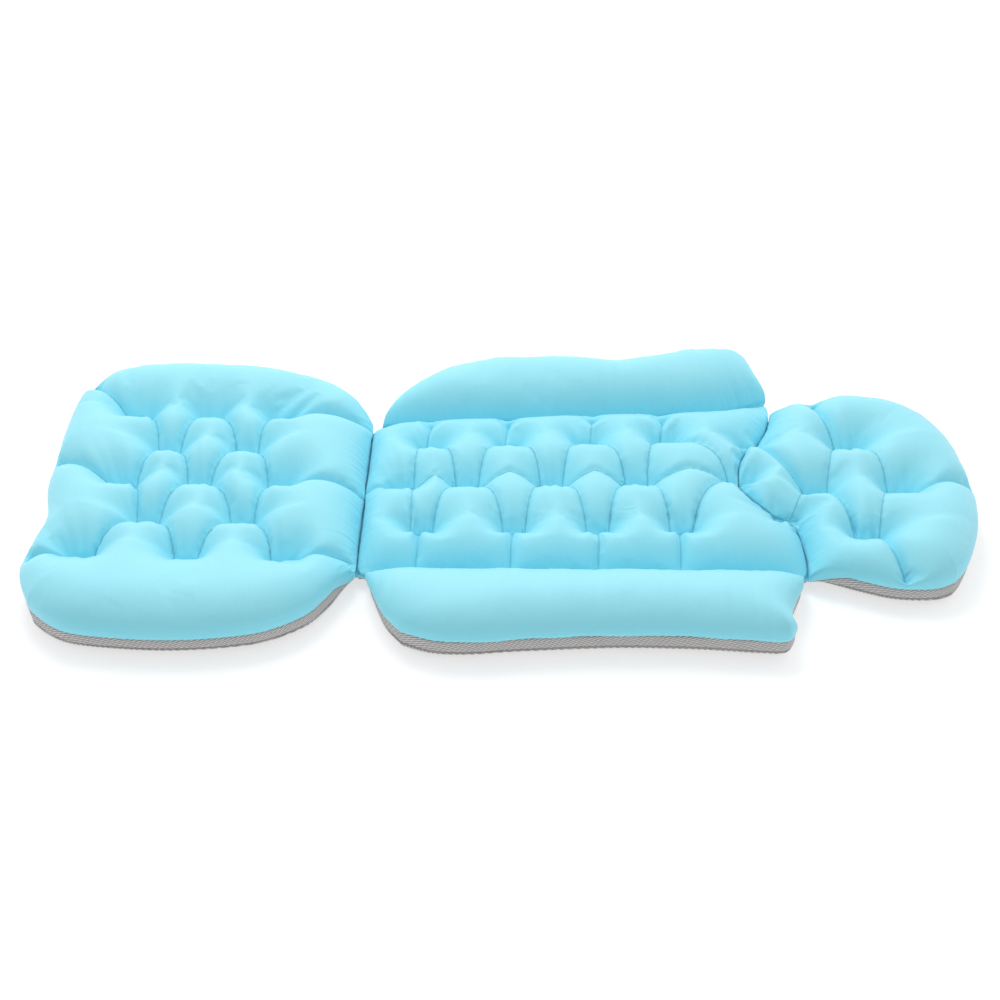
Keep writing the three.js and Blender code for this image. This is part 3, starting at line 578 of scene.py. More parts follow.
def outward(points, quads, triangles):
    """Turns every face round if the closed shape's volume comes out negative."""
    tri = np.concatenate([quads[:, [0, 1, 2]], quads[:, [0, 2, 3]], triangles])
    a, b, c = (points[tri[:, k]] for k in range(3))
    volume = np.einsum("ij,ij->i", a, np.cross(b, c)).sum() / 6
    if volume < 0:
        return quads[:, ::-1].copy(), triangles[:, ::-1].copy(), -volume
    return quads, triangles, volume


# %% [markdown]
# The formula gives the main form, and a short cloth simulation gives it the slack folds that real fabric has.
# The top is laid out as a grid, held at its border and at the bars, cut a few percent larger than its
# place, and blown up from below for some frames. Gravity is off, and no point may move far, so the cushion
# keeps its size. The settled grid is then doubled by the cubic rule (-a + 9b + 9c - d)/16.

# %% Settling the cloth
CLOTH_FRAMES, CLOTH_REACH = 20, 7.0


def doubled(grid):
    """Puts a point halfway between each two along both axes, on a cubic through four neighbours."""
    for _ in range(2):
        ahead = np.concatenate([grid[:1] * 2 - grid[1:2], grid, grid[-1:] * 2 - grid[-2:-1]])
        middle = (9 * (ahead[1:-2] + ahead[2:-1]) - ahead[:-3] - ahead[3:]) / 16
        finer = np.empty((2 * len(grid) - 1,) + grid.shape[1:])
        finer[::2], finer[1::2] = grid, middle
        grid = finer.swapaxes(0, 1)
    return grid


def settled(top, panel, spare=0.02, pressure=3.6, bending=0.6):
    """The grid after a few frames as cloth, each point within CLOTH_REACH of where the formula puts it."""
    nu, nv = top.shape[0] - 1, top.shape[1] - 1
    index = np.arange((nu + 1) * (nv + 1)).reshape(nu + 1, nv + 1)
    quads = np.stack([index[:-1, :-1], index[1:, :-1], index[1:, 1:], index[:-1, 1:]], -1).reshape(-1, 4)
    points = top.reshape(-1, 3)
    a, b, c = (points[quads[:, k]] for k in (0, 1, 2))
    if np.cross(b - a, c - a)[:, 2].sum() < 0:
        quads = quads[:, ::-1]
    sheet = mesh_object("cloth_trial", points.copy(), quads)
    held = sheet.vertex_groups.new(name="held")
    near = np.full(len(points), 99.0)
    for bar in panel["bars"]:
        near = np.minimum(near, segment_distance(points[:, :2], bar - (BAR_HALF, 0), bar + (BAR_HALF, 0))[0])
    border = np.zeros((nu + 1, nv + 1), bool)
    border[[0, -1]] = border[:, [0, -1]] = True
    held.add(np.flatnonzero(border.ravel() | (near < 2.6)).tolist(), 1.0, "REPLACE")
    cloth = sheet.modifiers.new("cloth", "CLOTH")
    cloth.point_cache.frame_start, cloth.point_cache.frame_end = 1, CLOTH_FRAMES
    cloth.collision_settings.use_collision = False
    look = cloth.settings
    look.quality, look.mass, look.air_damping = 5, 0.15, 3.0
    look.tension_stiffness = look.compression_stiffness = 18
    look.shear_stiffness, look.bending_stiffness = 5, bending
    look.use_pressure, look.uniform_pressure_force = True, pressure
    look.vertex_group_mass, look.pin_stiffness = "held", 1.0
    look.shrink_min = look.shrink_max = -spare
    look.effector_weights.gravity = 0.0
    for frame_number in range(1, CLOTH_FRAMES + 1):
        scene.frame_set(frame_number)
    moved = sheet.evaluated_get(bpy.context.evaluated_depsgraph_get()).data
    co = np.empty(len(points) * 3, np.float32)
    moved.vertices.foreach_get("co", co)
    co = co.reshape(-1, 3).astype(float) / MM - np.array([*SHIFT, 0])
    bpy.data.objects.remove(sheet)
    scene.frame_set(1)
    step = co - points
    size = np.linalg.norm(step, axis=1, keepdims=True)
    step *= np.minimum(1, CLOTH_REACH / np.maximum(size, 1e-9))
    print("cloth moved by", size.mean().round(2), "mm on average, at most", size.max().round(1))
    return (points + step).reshape(top.shape)


# %% [markdown]
# One function makes every cushion. It lays out the top, lets it settle as cloth, adds the rings and the base,
# and pushes the gathers out along the normals. The fibre pads inside come from the same function, lower,
# drawn in from the edge and without folds.

# %% The cushion
def cushion(name, panel, steps, seed, drop=0.0, inset=0.0, gathers=True):
    """A closed cushion: grid top, rings round the equator to the seam, and a flat base.
    Ring k stands at the angle a: in by tuck*(1-cos a), and down from the top's border by sin a."""
    nu, nv = steps

    def laid_out(nu, nv):
        shares = np.meshgrid(graded(np.linspace(0, 1, nu + 1)), graded(np.linspace(0, 1, nv + 1)), indexing="ij")
        plan = plan_points(panel, *shares, inset, inset)
        level = top_level(plan, panel)
        if drop:
            for axis in (0, 1):
                wide = np.concatenate([level.take([0], axis), level, level.take([-1], axis)], axis)
                count = level.shape[axis]
                before, after = wide.take(range(count), axis), wide.take(range(2, count + 2), axis)
                level = np.minimum(level, np.minimum(before, after))
        top = np.dstack([plan, level[..., None] - drop])
        return shares, pressed(top, panel) if gathers else top

    (s, t), top = laid_out(nu, nv)
    near, side = nearest_crease(top[..., :2].reshape(-1, 2), panel)
    if gathers:
        _, rough = laid_out(nu // 2, nv // 2)
        calm = 0.2 + 0.8 * np.exp(-((tufting(top[..., :2].reshape(-1, 2), panel) / 42) ** 2))
        slack = doubled(settled(rough, panel, **panel.get("cloth", {})) - rough)
        top = top + slack * calm.reshape(nu + 1, nv + 1, 1)
    points = [top.reshape(-1, 3)]
    index = np.arange((nu + 1) * (nv + 1)).reshape(nu + 1, nv + 1)
    quads = [np.stack([index[:-1, :-1], index[1:, :-1], index[1:, 1:], index[:-1, 1:]], -1).reshape(-1, 4)]
    i, j = border_of(nu, nv)
    loop, edge = index[i, j], top[i, j]
    seam = mixed_level(edge[:, :2], panel, FOLD_LEVEL + 0.15, panel["seam"] + 0.3)
    count = (nu + 1) * (nv + 1)
    for angle in np.radians([22, 44, 66, 90]):
        ring = plan_points(panel, s[i, j], t[i, j], inset, inset + SEAM_TUCK * (1 - math.cos(angle)))
        height = edge[:, 2] + (seam - edge[:, 2]) * math.sin(angle)
        points.append(np.column_stack([ring, height]))
        next_loop = count + np.arange(len(loop))
        quads.append(band(next_loop, loop))
        loop, count = next_loop, count + len(loop)
    base = plan_points(panel, s[i, j], t[i, j], inset + 4.0, inset + 40.0)
    points.append(np.column_stack([base, np.full(len(loop), UNDERSIDE + 2.15 + drop / 20)]))
    next_loop = count + np.arange(len(loop))
    quads.append(band(next_loop, loop))
    count += len(loop)
    points.append(np.array([[*base.mean(axis=0), UNDERSIDE + 2.15 + drop / 20]]))
    triangles = np.column_stack([np.roll(next_loop, -1), next_loop, np.full(len(loop), count)])
    points, quads = np.vstack(points), np.vstack(quads)
    quads, triangles, volume = outward(points, quads, triangles)
    if gathers:
        flat = points[:, :2]
        push = bar_gathers(flat, panel["bars"], seed)
        for k, (chain, _) in enumerate(panel["sewn"]):
            push += line_gathers(flat, chain, seed + 100 + k)
        if panel["free"] is not None:
            push += line_gathers(flat, panel["free"], seed + 200, size=0.5, reach=20, waves=(19, 31, 46))
        push += panel.get("sag", lambda p: 0)(flat)
        push *= np.clip((points[:, 2] - UNDERSIDE - 3) / 8, 0, 1)
        points = points + push[:, None] * vertex_normals(points, quads)
    run_u = np.zeros(top.shape[:2])
    run_v = np.zeros(top.shape[:2])
    run_u[1:] = np.cumsum(np.linalg.norm(np.diff(top, axis=0), axis=2), axis=0)
    run_v[:, 1:] = np.cumsum(np.linalg.norm(np.diff(top, axis=1), axis=2), axis=1)
    cloth = np.dstack([run_u - run_u[nu // 2], run_v - run_v[:, nv // 2:nv // 2 + 1]]).reshape(-1, 2)
    rest = len(points) - len(cloth)
    outer = np.tile(cloth[index[i, j]], (rest // len(loop) + 1, 1))[:rest]
    away = np.repeat(np.arange(1, rest // len(loop) + 2), len(loop))[:rest, None] * 4.0
    outer = outer + away * outer / np.maximum(np.linalg.norm(outer, axis=1, keepdims=True), 1)
    obj = mesh_object(name, points, quads, triangles, np.vstack([cloth, outer]))
    # The crown attribute is the height share that the blue material reads to paint shade low down.
    crown = obj.data.attributes.new("crown", "FLOAT", "POINT")
    crown.data.foreach_set("value", np.clip((points[:, 2] - 30) / 48, 0, 1).astype(np.float32))
    for title, values in (("crease_near", near), ("crease_side", side)):
        line = obj.data.attributes.new(title, "FLOAT", "POINT")
        line.data.foreach_set("value", np.concatenate([values, np.zeros(rest)]).astype(np.float32))
    print(f"{name}: {len(obj.data.polygons)} faces, volume {volume / 1e6:.2f} litres,",
          f"top at {points[:, 2].max():.1f} mm")
    return obj

# %% [markdown]
# The five cushions share one recipe, and differ in their sides, sewn lines and tufts. Start is always the
# side at the fold, right and left run away from it, and end closes the outline.

# %% The five cushions in plan
FOLD_SLOPE, CREASE_SLOPE, BOLSTER_SLOPE = 2.8, 2.2, 2.6
BOW_GAP = 0.5


def bent(a, b, lift, bow, steps=8):
    """A crease as a curve (1-t)^2 a + 2t(1-t) c + t^2 b: it leaves the further bar sideways and comes down on
    the nearer one, so that each cell is broad at its far end. Each short piece carries the lift of its ends."""
    if a[1] < b[1]:
        a, b = b, a
    turn = (a + b) / 2 + bow * (np.array([b[0], a[1]]) - (a + b) / 2)
    t = np.linspace(0, 1, steps + 1)[:, None]
    line = (1 - t) ** 2 * a + 2 * t * (1 - t) * turn + t**2 * b
    rise = lift * np.sin(np.pi * np.clip(t[:, 0], 0, 1)) ** 1.3
    return [(p, q, 0.0, first, last) for p, q, first, last in zip(line[:-1], line[1:], rise[:-1], rise[1:])]


def lifted(bars, links, lifts, extra=(), bow=0.45):
    """The creases between bars, each with its lift, and extra creases that run to an edge."""
    lines = [piece for (a, b), lift in zip(crease_lines(bars, links), np.broadcast_to(lifts, len(links)))
             for piece in bent(a, b, lift, bow)]
    return lines + [(np.array(a, float), np.array(b, float), *lift) for a, b, *lift in extra]


def free_chain(*sides):
    """One line round the free edges."""
    return np.vstack([side[1] if isinstance(side, tuple) else side for side in sides])


def seat_panel():
    """The seat, from its fold towards -X."""
    start = [seat_fold[1] + (-EDGE_GAP, 0), seat_fold[0] + (-EDGE_GAP, 0)]
    right = smooth_side(np.vstack([start[0], seat_at(SEAT_FAR)]))
    left = smooth_side(np.vstack([start[1], seat_at(SEAT_NEAR)]))
    end = smooth_side(seat_at(SEAT_END))
    bars = seat_at(SEAT_TUFTS)
    to = lambda *shares: seat_at([shares])[0]
    extra = [
        (bars[2] + (BAR_HALF, 0), to(0.02, 0.50), 8), (bars[7] + (BAR_HALF, 0), to(0.01, -0.03), 14),
        (bars[12] + (BAR_HALF, 0), to(0.03, -0.52), 12), (bars[10] + (-BAR_HALF, 0), to(0.965, -0.56), 10),
        (bars[0] + (-BAR_HALF, 0), to(0.93, 0.76), 16), (bars[5] + (-BAR_HALF, 0), to(0.97, 0.14), 14),
    ]
    return {
        "sides": {"start": straight_side(*start), "right": right, "end": end, "left": left},
        "length": SEAT_LENGTH, "width": 2 * SEAT_HALF, "height": 86.0, "reach": 32.0, "rim": 62.0, "seam": 31.0,
        "sewn_sides": ["start"], "sewn": [(seat_fold, FOLD_SLOPE)],
        "free": free_chain(right, end, reversed_line(left[1])),
        "bars": bars, "creases": lifted(bars, SEAT_LINKS, 14.0, extra),
    }


def bow_creases():
    """The bowed stitching between its end stretches and its three tufts, which both covers share."""
    stops = [bow_near[-1], BOW_TUFTS[0], BOW_TUFTS[1], BOW_TUFTS[2], bow_far[0]]
    lines = []
    for a, b in zip(stops[:-1], stops[1:]):
        inside = bow_line[(bow_line[:, 1] > a[1]) & (bow_line[:, 1] < b[1])][::6]
        chain = np.vstack([a, inside, b])
        rise = 9.0 * np.sin(np.pi * np.linspace(0, 1, len(chain)))
        lines += [(p, q, 0.0, first, last) for p, q, first, last in zip(chain[:-1], chain[1:], rise[:-1], rise[1:])]
    return lines


def back_panel():
    """The back, between both folds and both creases. Its head end follows the bowed stitching."""
    bow, far = offset_line(bow_line, BOW_GAP), offset_line(far_crease_line, -EDGE_GAP)
    near_dir = near_crease[1] - near_crease[0]
    near_dir = near_dir / np.linalg.norm(near_dir)
    out = EDGE_GAP * np.array([-near_dir[1], near_dir[0]])
    near_start = np.array([SEAT_FOLD_X + EDGE_GAP, near_crease[0][1]]) + out
    near_end = np.array([bow[4][0], 0]) + (0, near_crease[1][1] + EDGE_GAP)
    far = far[far[:, 0] > SEAT_FOLD_X + EDGE_GAP]
    far_start = np.array([SEAT_FOLD_X + EDGE_GAP, far[0][1]])
    far = np.vstack([far_start, far[:-8]])
    bow = bow[(bow[:, 1] > near_end[1])]
    end_line = np.vstack([near_end, bow, far[-1]])
    bars = back_at(BACK_TUFTS)
    bars[[14, 9, 4]] = BOW_TUFTS
    up = lambda k: (bars[k] + (-6, 0), bars[k] + (-2, 46), 9)
    down = lambda k: (bars[k] + (-2, 0), bars[k] + (-4, -62), 10)
    extra = [up(0), up(1), up(3), (bars[2] + (4, 0), bars[2] + (8, 44), 22),
             down(10), down(11), down(13), (bars[12] + (0, 0), bars[12] + (0, -62), 20),
             (bars[5] + (-BAR_HALF, 0), np.array([SEAT_FOLD_X + 6, 4.0]), 4)]
    for k in (5, 6, 7, 8):
        a, b = bars[k] + (BAR_HALF, 0), bars[k + 1] + (-BAR_HALF, 0)
        extra += [(a, (a + b) / 2 + (0, 10), 0, 0, 24), ((a + b) / 2 + (0, 10), b, 0, 24, 0)]
    return {
        "sides": {"start": straight_side(near_start, far_start), "right": straight_side(near_start, near_end),
                  "end": as_side(end_line), "left": as_side(far)},
        "length": 577.0, "width": 310.0, "height": 79.0, "reach": 30.0, "rim": 34.0, "seam": 31.0,
        "sewn_sides": ["start", "right", "end", "left"],
        "sewn": [(seat_fold, FOLD_SLOPE), (bow_near, FOLD_SLOPE), (bow_far, FOLD_SLOPE),
                 (near_crease, CREASE_SLOPE), (far_crease_line, CREASE_SLOPE)],
        "free": None, "bars": bars, "creases": lifted(bars, BACK_LINKS, 25.0, extra) + bow_creases(),
    }


HEAD_LIFTS = (30.0, 28.0, 13.0, 34.0)  # one for each of HEAD_LINKS


def head_panel():
    """The head pillow, from the bowed stitching towards +X."""
    bow = offset_line(bow_line, -BOW_GAP)
    right = smooth_side(np.vstack([bow[0], head_at(HEAD_NEAR)]))
    left = smooth_side(np.vstack([bow[-1], head_at(HEAD_FAR)]))
    end = smooth_side(head_at(HEAD_END))
    bars = head_at(HEAD_TUFTS)
    to = lambda *shares: head_at([shares])[0]
    extra = [
        (bars[0] + (-BAR_HALF, 0), to(0.20, 0.96), 14), (bars[2] + (BAR_HALF, 0), to(0.98, 0.06), 16),
        (bars[3] + (BAR_HALF, 0), to(0.52, -0.90), 15), (bars[1] + (-BAR_HALF, 0), np.array([342.0, 105.0]), 12),
        (bars[1] + (-BAR_HALF, 0), np.array([382.0, -50.0]), 26),
    ]
    return {
        "sides": {"start": as_side(bow), "right": right, "end": end, "left": left},
        "length": HEAD_LENGTH + 30, "width": 2 * HEAD_HALF,
        "height": 87.0, "reach": 30.0, "rim": 62.0, "seam": 31.0,
        "sewn_sides": ["start"], "sewn": [(bow_near, FOLD_SLOPE), (bow_far, FOLD_SLOPE)],
        "free": free_chain(right, end, reversed_line(left[1])),
        "bars": np.vstack([bars, BOW_TUFTS]),
        "creases": lifted(bars, HEAD_LINKS, HEAD_LIFTS, extra) + bow_creases(),
    }


def bolster_panel(line, chord, outward_sign, seat_side, outer, head_side, corners, seed):
    """A bolster: a plain roll beside its crease, with soft sags across it."""
    at = lambda shares: bolster_at(shares, chord[0], chord[1], outward_sign)
    seat_corner, head_corner = corners
    inner = offset_line(line, outward_sign * EDGE_GAP)
    keep = (inner[:, 0] > seat_corner[0]) & (inner[:, 0] < head_corner[0])
    inner = np.vstack([seat_corner, inner[keep], head_corner])
    seat_edge = smooth_side(np.vstack([seat_corner, at(seat_side)]))
    head_edge = smooth_side(np.vstack([head_corner, at(head_side)]))
    end = smooth_side(at(outer))
    if outward_sign > 0:
        sides = {"start": as_side(reversed_line(inner)), "right": head_edge, "left": seat_edge, "end": end}
    else:
        sides = {"start": as_side(inner), "right": seat_edge, "left": head_edge, "end": end}
    free = free_chain(sides["right"], sides["end"], reversed_line(sides["left"][1]))

    def sag(points):
        run, away = run_along(line, points)
        soft = ripple(run + 0.1 * away, (148, 91, 67), seed) * 1.2 + 0.25 * ripple(run, (21, 27, 16), seed + 1)
        return soft * np.clip(away / 30, 0, 1)

    return {
        "sides": sides, "length": BOLSTER_WIDTH, "width": 570.0, "height": 84.0, "reach": 30.0, "rim": 56.0,
        "seam": 34.0, "cloth": {"spare": 0.006, "bending": 2.5},
        "sewn_sides": ["start"], "sewn": [(line, BOLSTER_SLOPE)], "free": free,
        "free_sides": [sides[side][1] for side in ("right", "end", "left")],
        "bars": np.zeros((0, 2)), "creases": [], "sag": sag,
    }


seat = seat_panel()
back = back_panel()
head = head_panel()
far_chord = np.array([seat_fold[1], head_fold[1]])
right_bolster = bolster_panel(
    far_crease_line, far_chord, 1, FAR_BOLSTER_SEAT, FAR_BOLSTER_SIDE, FAR_BOLSTER_HEAD,
    (np.array([-169.0, 160.0]), np.array([374.0, 225.0])), 41)
left_bolster = bolster_panel(
    near_crease, near_crease, -1, NEAR_BOLSTER_SEAT, NEAR_BOLSTER_SIDE, NEAR_BOLSTER_HEAD,
    (np.array([-168.5, -156.9]), np.array([388.0, -151.9])), 43)
print("cushion corners ready:", [len(p["creases"]) for p in (seat, back, head)], "creases")

# %% [markdown]
# The polyester is a fine plain weave with a soft satin sheen. Two crossed sets of waves on the cloth's own UV
# map stand for the yarns. They only drive a very small bump, because the yarns are half a millimetre
# wide. Broad noise on Object coordinates varies the dyed colour a little, as on brushed cloth. Painted shade
# is mixed in by height: low places get a darker, more saturated blue and the high crowns a lighter one. Along
# each crease the cloth is pinched, so a thin line there is dented and painted darker as shade.

# %% Materials
def new_material(name, rgb, roughness):
    """A node material with its uniform values on the shader's own sockets."""
    material = bpy.data.materials.new(name)
    material.use_nodes = True
    shader = material.node_tree.nodes["Principled BSDF"]
    shader.inputs["Base Color"].default_value = (*rgb, 1)
    shader.inputs["Roughness"].default_value = roughness
    material.diffuse_color = (*rgb, 1)
    return material, material.node_tree, shader


def linked(tree, kind, settings=(), **inputs):
    """Adds a node, sets its properties and values, and links what is a socket."""
    node = tree.nodes.new(kind)
    for key, value in settings:
        setattr(node, key, value)
    for key, value in inputs.items():
        numbered = key[0] == "i" and key[1:].isdigit()
        socket = node.inputs[int(key[1:]) if numbered else key.replace("_", " ")]
        if isinstance(value, bpy.types.NodeSocket):
            tree.links.new(value, socket)
        else:
            socket.default_value = value
    return node


def woven_group(name, count):
    """A group that puts out a plain weave's height: over and under yarns, count yarns per metre."""
    group = bpy.data.node_groups.new(name, "ShaderNodeTree")
    group.interface.new_socket("Vector", in_out="INPUT", socket_type="NodeSocketVector")
    group.interface.new_socket("Height", in_out="OUTPUT", socket_type="NodeSocketFloat")
    enter = group.nodes.new("NodeGroupInput")
    leave = group.nodes.new("NodeGroupOutput")
    split = linked(group, "ShaderNodeSeparateXYZ", i0=enter.outputs[0])
    waves = []
    for axis in (0, 1):
        turn = linked(group, "ShaderNodeMath", [("operation", "MULTIPLY")],
                      i0=split.outputs[axis], i1=count * 2 * math.pi)
        waves.append(linked(group, "ShaderNodeMath", [("operation", "SINE")], i0=turn.outputs[0]).outputs[0])
    cross = linked(group, "ShaderNodeMath", [("operation", "MULTIPLY")], i0=waves[0], i1=waves[1])
    half = linked(group, "ShaderNodeMath", [("operation", "MULTIPLY_ADD")], i0=cross.outputs[0], i1=0.5, i2=0.5)
    group.links.new(half.outputs[0], leave.inputs[0])
    return group


def polyester_material():
    """Light blue microfibre: weave bump, slight variation of the dyed colour, painted shade low down and at the
    creases, sheen, a soft shine.
    """
    material, tree, shader = new_material("blue_polyester", (0.30, 0.71, 0.81), 0.5)
    shader.inputs["Sheen Weight"].default_value = 0.35
    shader.inputs["Sheen Roughness"].default_value = 0.45
    shader.inputs["Sheen Tint"].default_value = (0.75, 0.95, 1.0, 1)
    shader.inputs["Specular IOR Level"].default_value = 0.28
    place = linked(tree, "ShaderNodeTexCoord")
    broad = linked(tree, "ShaderNodeTexNoise", Vector=place.outputs["Object"], Scale=5.0, Detail=3.0)
    # Painted shade: the crown attribute is the height share, so low places get the darker blue and high crowns the
    # lighter one.
    crown = linked(tree, "ShaderNodeAttribute", [("attribute_name", "crown")])
    both = linked(tree, "ShaderNodeMath", [("operation", "MULTIPLY_ADD")], i0=broad.outputs["Fac"], i1=0.35,
                  i2=crown.outputs["Fac"])
    shade = linked(tree, "ShaderNodeMapRange", [("interpolation_type", "SMOOTHSTEP")],
                   i0=both.outputs[0], i1=0.15, i2=1.2, i3=0.0, i4=1.0)
    dye_and_painted_shade = linked(tree, "ShaderNodeMix", [("data_type", "RGBA")], i0=shade.outputs[0])
    # Painted shade colour for low places first, then the lighter colour for the high crowns.
    dye_and_painted_shade.inputs[6].default_value = (0.25, 0.76, 0.90, 1)
    dye_and_painted_shade.inputs[7].default_value = (0.335, 0.78, 0.885, 1)
    near = linked(tree, "ShaderNodeAttribute", [("attribute_name", "crease_near")])
    close = linked(tree, "ShaderNodeMapRange", [("interpolation_type", "SMOOTHSTEP")],
                   i0=near.outputs["Fac"], i1=4.5, i2=7.0, i3=0.0, i4=1.0)
    side = linked(tree, "ShaderNodeAttribute", [("attribute_name", "crease_side")])
    off = linked(tree, "ShaderNodeMath", [("operation", "ABSOLUTE")], i0=side.outputs["Fac"])
    thin = linked(tree, "ShaderNodeMapRange", [("interpolation_type", "SMOOTHSTEP")],
                  i0=off.outputs[0], i1=0.2, i2=1.7, i3=1.0, i4=0.0)
    crease = linked(tree, "ShaderNodeMath", [("operation", "MULTIPLY")], i0=close.outputs[0], i1=thin.outputs[0])
    # Painted shade: a thin darker, more saturated line along each crease and bar, where shade falls into the fold.
    painted_crease_shade = linked(tree, "ShaderNodeMath", [("operation", "MULTIPLY")], i0=crease.outputs[0], i1=0.42)
    shadowed = linked(tree, "ShaderNodeMix", [("data_type", "RGBA")], i0=painted_crease_shade.outputs[0])
    tree.links.new(dye_and_painted_shade.outputs[2], shadowed.inputs[6])
    shadowed.inputs[7].default_value = (0.08, 0.48, 0.66, 1)
    tree.links.new(shadowed.outputs[2], shader.inputs["Base Color"])
    tuck = linked(tree, "ShaderNodeBump", [("invert", True)], Height=crease.outputs[0], Strength=0.6, Distance=0.0012)
    weave = linked(tree, "ShaderNodeGroup", [("node_tree", woven_group("plain_weave", 1400.0))],
                   Vector=place.outputs["UV"])
    slub = linked(tree, "ShaderNodeTexNoise", Vector=place.outputs["UV"], Scale=260.0, Detail=4.0)
    long = linked(tree, "ShaderNodeMapping", Vector=place.outputs["Object"])
    long.inputs["Scale"].default_value = (190, 12, 30)
    satin = linked(tree, "ShaderNodeTexNoise", Vector=long.outputs[0], Scale=1.0, Detail=2.0)
    streaks = linked(tree, "ShaderNodeBump", Height=satin.outputs["Fac"], Strength=0.22, Distance=0.0012,
                     Normal=tuck.outputs[0])
    bump = linked(tree, "ShaderNodeBump", Height=slub.outputs["Fac"], Strength=0.18, Distance=0.0006,
                  Normal=streaks.outputs[0])
    fine = linked(tree, "ShaderNodeBump", Height=weave.outputs[0], Strength=0.35, Distance=0.00012,
                  Normal=bump.outputs[0])
    tree.links.new(fine.outputs[0], shader.inputs["Normal"])
    return material


def air_mesh_material():
    """Grey 3-D air mesh: slanted rows of open cells with pale ribs between, darker inside the cells."""
    material, tree, shader = new_material("grey_air_mesh", (0.36, 0.35, 0.34), 0.85)
    place = linked(tree, "ShaderNodeTexCoord")
    turn = linked(tree, "ShaderNodeMapping", Vector=place.outputs["UV"])
    turn.inputs["Rotation"].default_value = (0, 0, math.radians(68))
    split = linked(tree, "ShaderNodeSeparateXYZ", i0=turn.outputs[0])
    rows = linked(tree, "ShaderNodeMath", [("operation", "MULTIPLY")], i0=split.outputs[0], i1=2 * math.pi * 320)
    cells = linked(tree, "ShaderNodeMath", [("operation", "MULTIPLY")], i0=split.outputs[1], i1=2 * math.pi * 105)
    sine_rows = linked(tree, "ShaderNodeMath", [("operation", "SINE")], i0=rows.outputs[0])
    shift = linked(tree, "ShaderNodeMath", [("operation", "MULTIPLY_ADD")], i0=rows.outputs[0], i1=0.5,
                   i2=cells.outputs[0])
    sine_cells = linked(tree, "ShaderNodeMath", [("operation", "SINE")], i0=shift.outputs[0])
    both = linked(tree, "ShaderNodeMath", [("operation", "MULTIPLY_ADD")], i0=sine_cells.outputs[0], i1=0.35,
                  i2=sine_rows.outputs[0])
    height = linked(tree, "ShaderNodeMapRange", i0=both.outputs[0], i1=-0.7, i2=0.9, i3=0.0, i4=1.0)
    tone = linked(tree, "ShaderNodeMix", [("data_type", "RGBA")], i0=height.outputs[0])
    tone.inputs[6].default_value = (0.36, 0.34, 0.33, 1)
    tone.inputs[7].default_value = (0.78, 0.75, 0.735, 1)
    tree.links.new(tone.outputs[2], shader.inputs["Base Color"])
    bump = linked(tree, "ShaderNodeBump", Height=height.outputs[0], Strength=0.8, Distance=0.0012)
    tree.links.new(bump.outputs[0], shader.inputs["Normal"])
    return material


def fibre_material():
    """White hollow fibre: matted noise."""
    material, tree, shader = new_material("white_fibre", (0.86, 0.86, 0.84), 0.95)
    place = linked(tree, "ShaderNodeTexCoord")
    mat = linked(tree, "ShaderNodeTexNoise", Vector=place.outputs["Object"], Scale=400.0, Detail=6.0)
    bump = linked(tree, "ShaderNodeBump", Height=mat.outputs["Fac"], Strength=0.7, Distance=0.001)
    tree.links.new(bump.outputs[0], shader.inputs["Normal"])
    return material


def thread_material(name, rgb):
    """Twisted sewing thread: slanted waves."""
    material, tree, shader = new_material(name, rgb, 0.6)
    place = linked(tree, "ShaderNodeTexCoord")
    twist = linked(tree, "ShaderNodeTexWave", [("bands_direction", "DIAGONAL")],
                   Vector=place.outputs["Object"], Scale=700.0, Distortion=1.0)
    bump = linked(tree, "ShaderNodeBump", Height=twist.outputs["Fac"], Strength=0.5, Distance=0.0002)
    tree.links.new(bump.outputs[0], shader.inputs["Normal"])
    return material


def tape_material():
    """Grey woven tape: a coarser weave with ribs."""
    material, tree, shader = new_material("grey_tape", (0.36, 0.33, 0.36), 0.8)
    place = linked(tree, "ShaderNodeTexCoord")
    weave = linked(tree, "ShaderNodeGroup", [("node_tree", woven_group("tape_weave", 620.0))],
                   Vector=place.outputs["UV"])
    tone = linked(tree, "ShaderNodeMix", [("data_type", "RGBA")], i0=weave.outputs[0])
    tone.inputs[6].default_value = (0.27, 0.25, 0.28, 1)
    tone.inputs[7].default_value = (0.48, 0.45, 0.49, 1)
    tree.links.new(tone.outputs[2], shader.inputs["Base Color"])
    bump = linked(tree, "ShaderNodeBump", Height=weave.outputs[0], Strength=0.6, Distance=0.0004)
    tree.links.new(bump.outputs[0], shader.inputs["Normal"])
    return material


def clear_material():
    """Clear soft PVC with a faint clouding."""
    material, tree, shader = new_material("clear_pvc", (0.93, 0.97, 0.98), 0.12)
    shader.inputs["Transmission Weight"].default_value = 0.85
    shader.inputs["IOR"].default_value = 1.5
    place = linked(tree, "ShaderNodeTexCoord")
    cloud = linked(tree, "ShaderNodeTexNoise", Vector=place.outputs["Object"], Scale=120.0, Detail=2.0)
    haze = linked(tree, "ShaderNodeMapRange", i0=cloud.outputs["Fac"], i1=0.3, i2=0.7, i3=0.08, i4=0.2)
    tree.links.new(haze.outputs[0], shader.inputs["Roughness"])
    return material


BLUE = polyester_material()
AIR_MESH = air_mesh_material()
FIBRE = fibre_material()
THREAD = thread_material("blue_thread", (0.16, 0.55, 0.68))
GREY_THREAD = thread_material("grey_thread", (0.30, 0.29, 0.30))
TAPE = tape_material()
PVC = clear_material()
print("materials:", [m.name for m in (BLUE, AIR_MESH, FIBRE, THREAD, TAPE, PVC)])

# %% [markdown]
# The covers are made at about 2 mm a step. The head's cover laps over the hinge, because the stitching that it
# ends at is bowed over the back's last tufts. The far bolster's crease is curved beside its straight hinge
# too. So the cloth, pad, mesh and threads of those two stay where they are made and are not carried by a body.

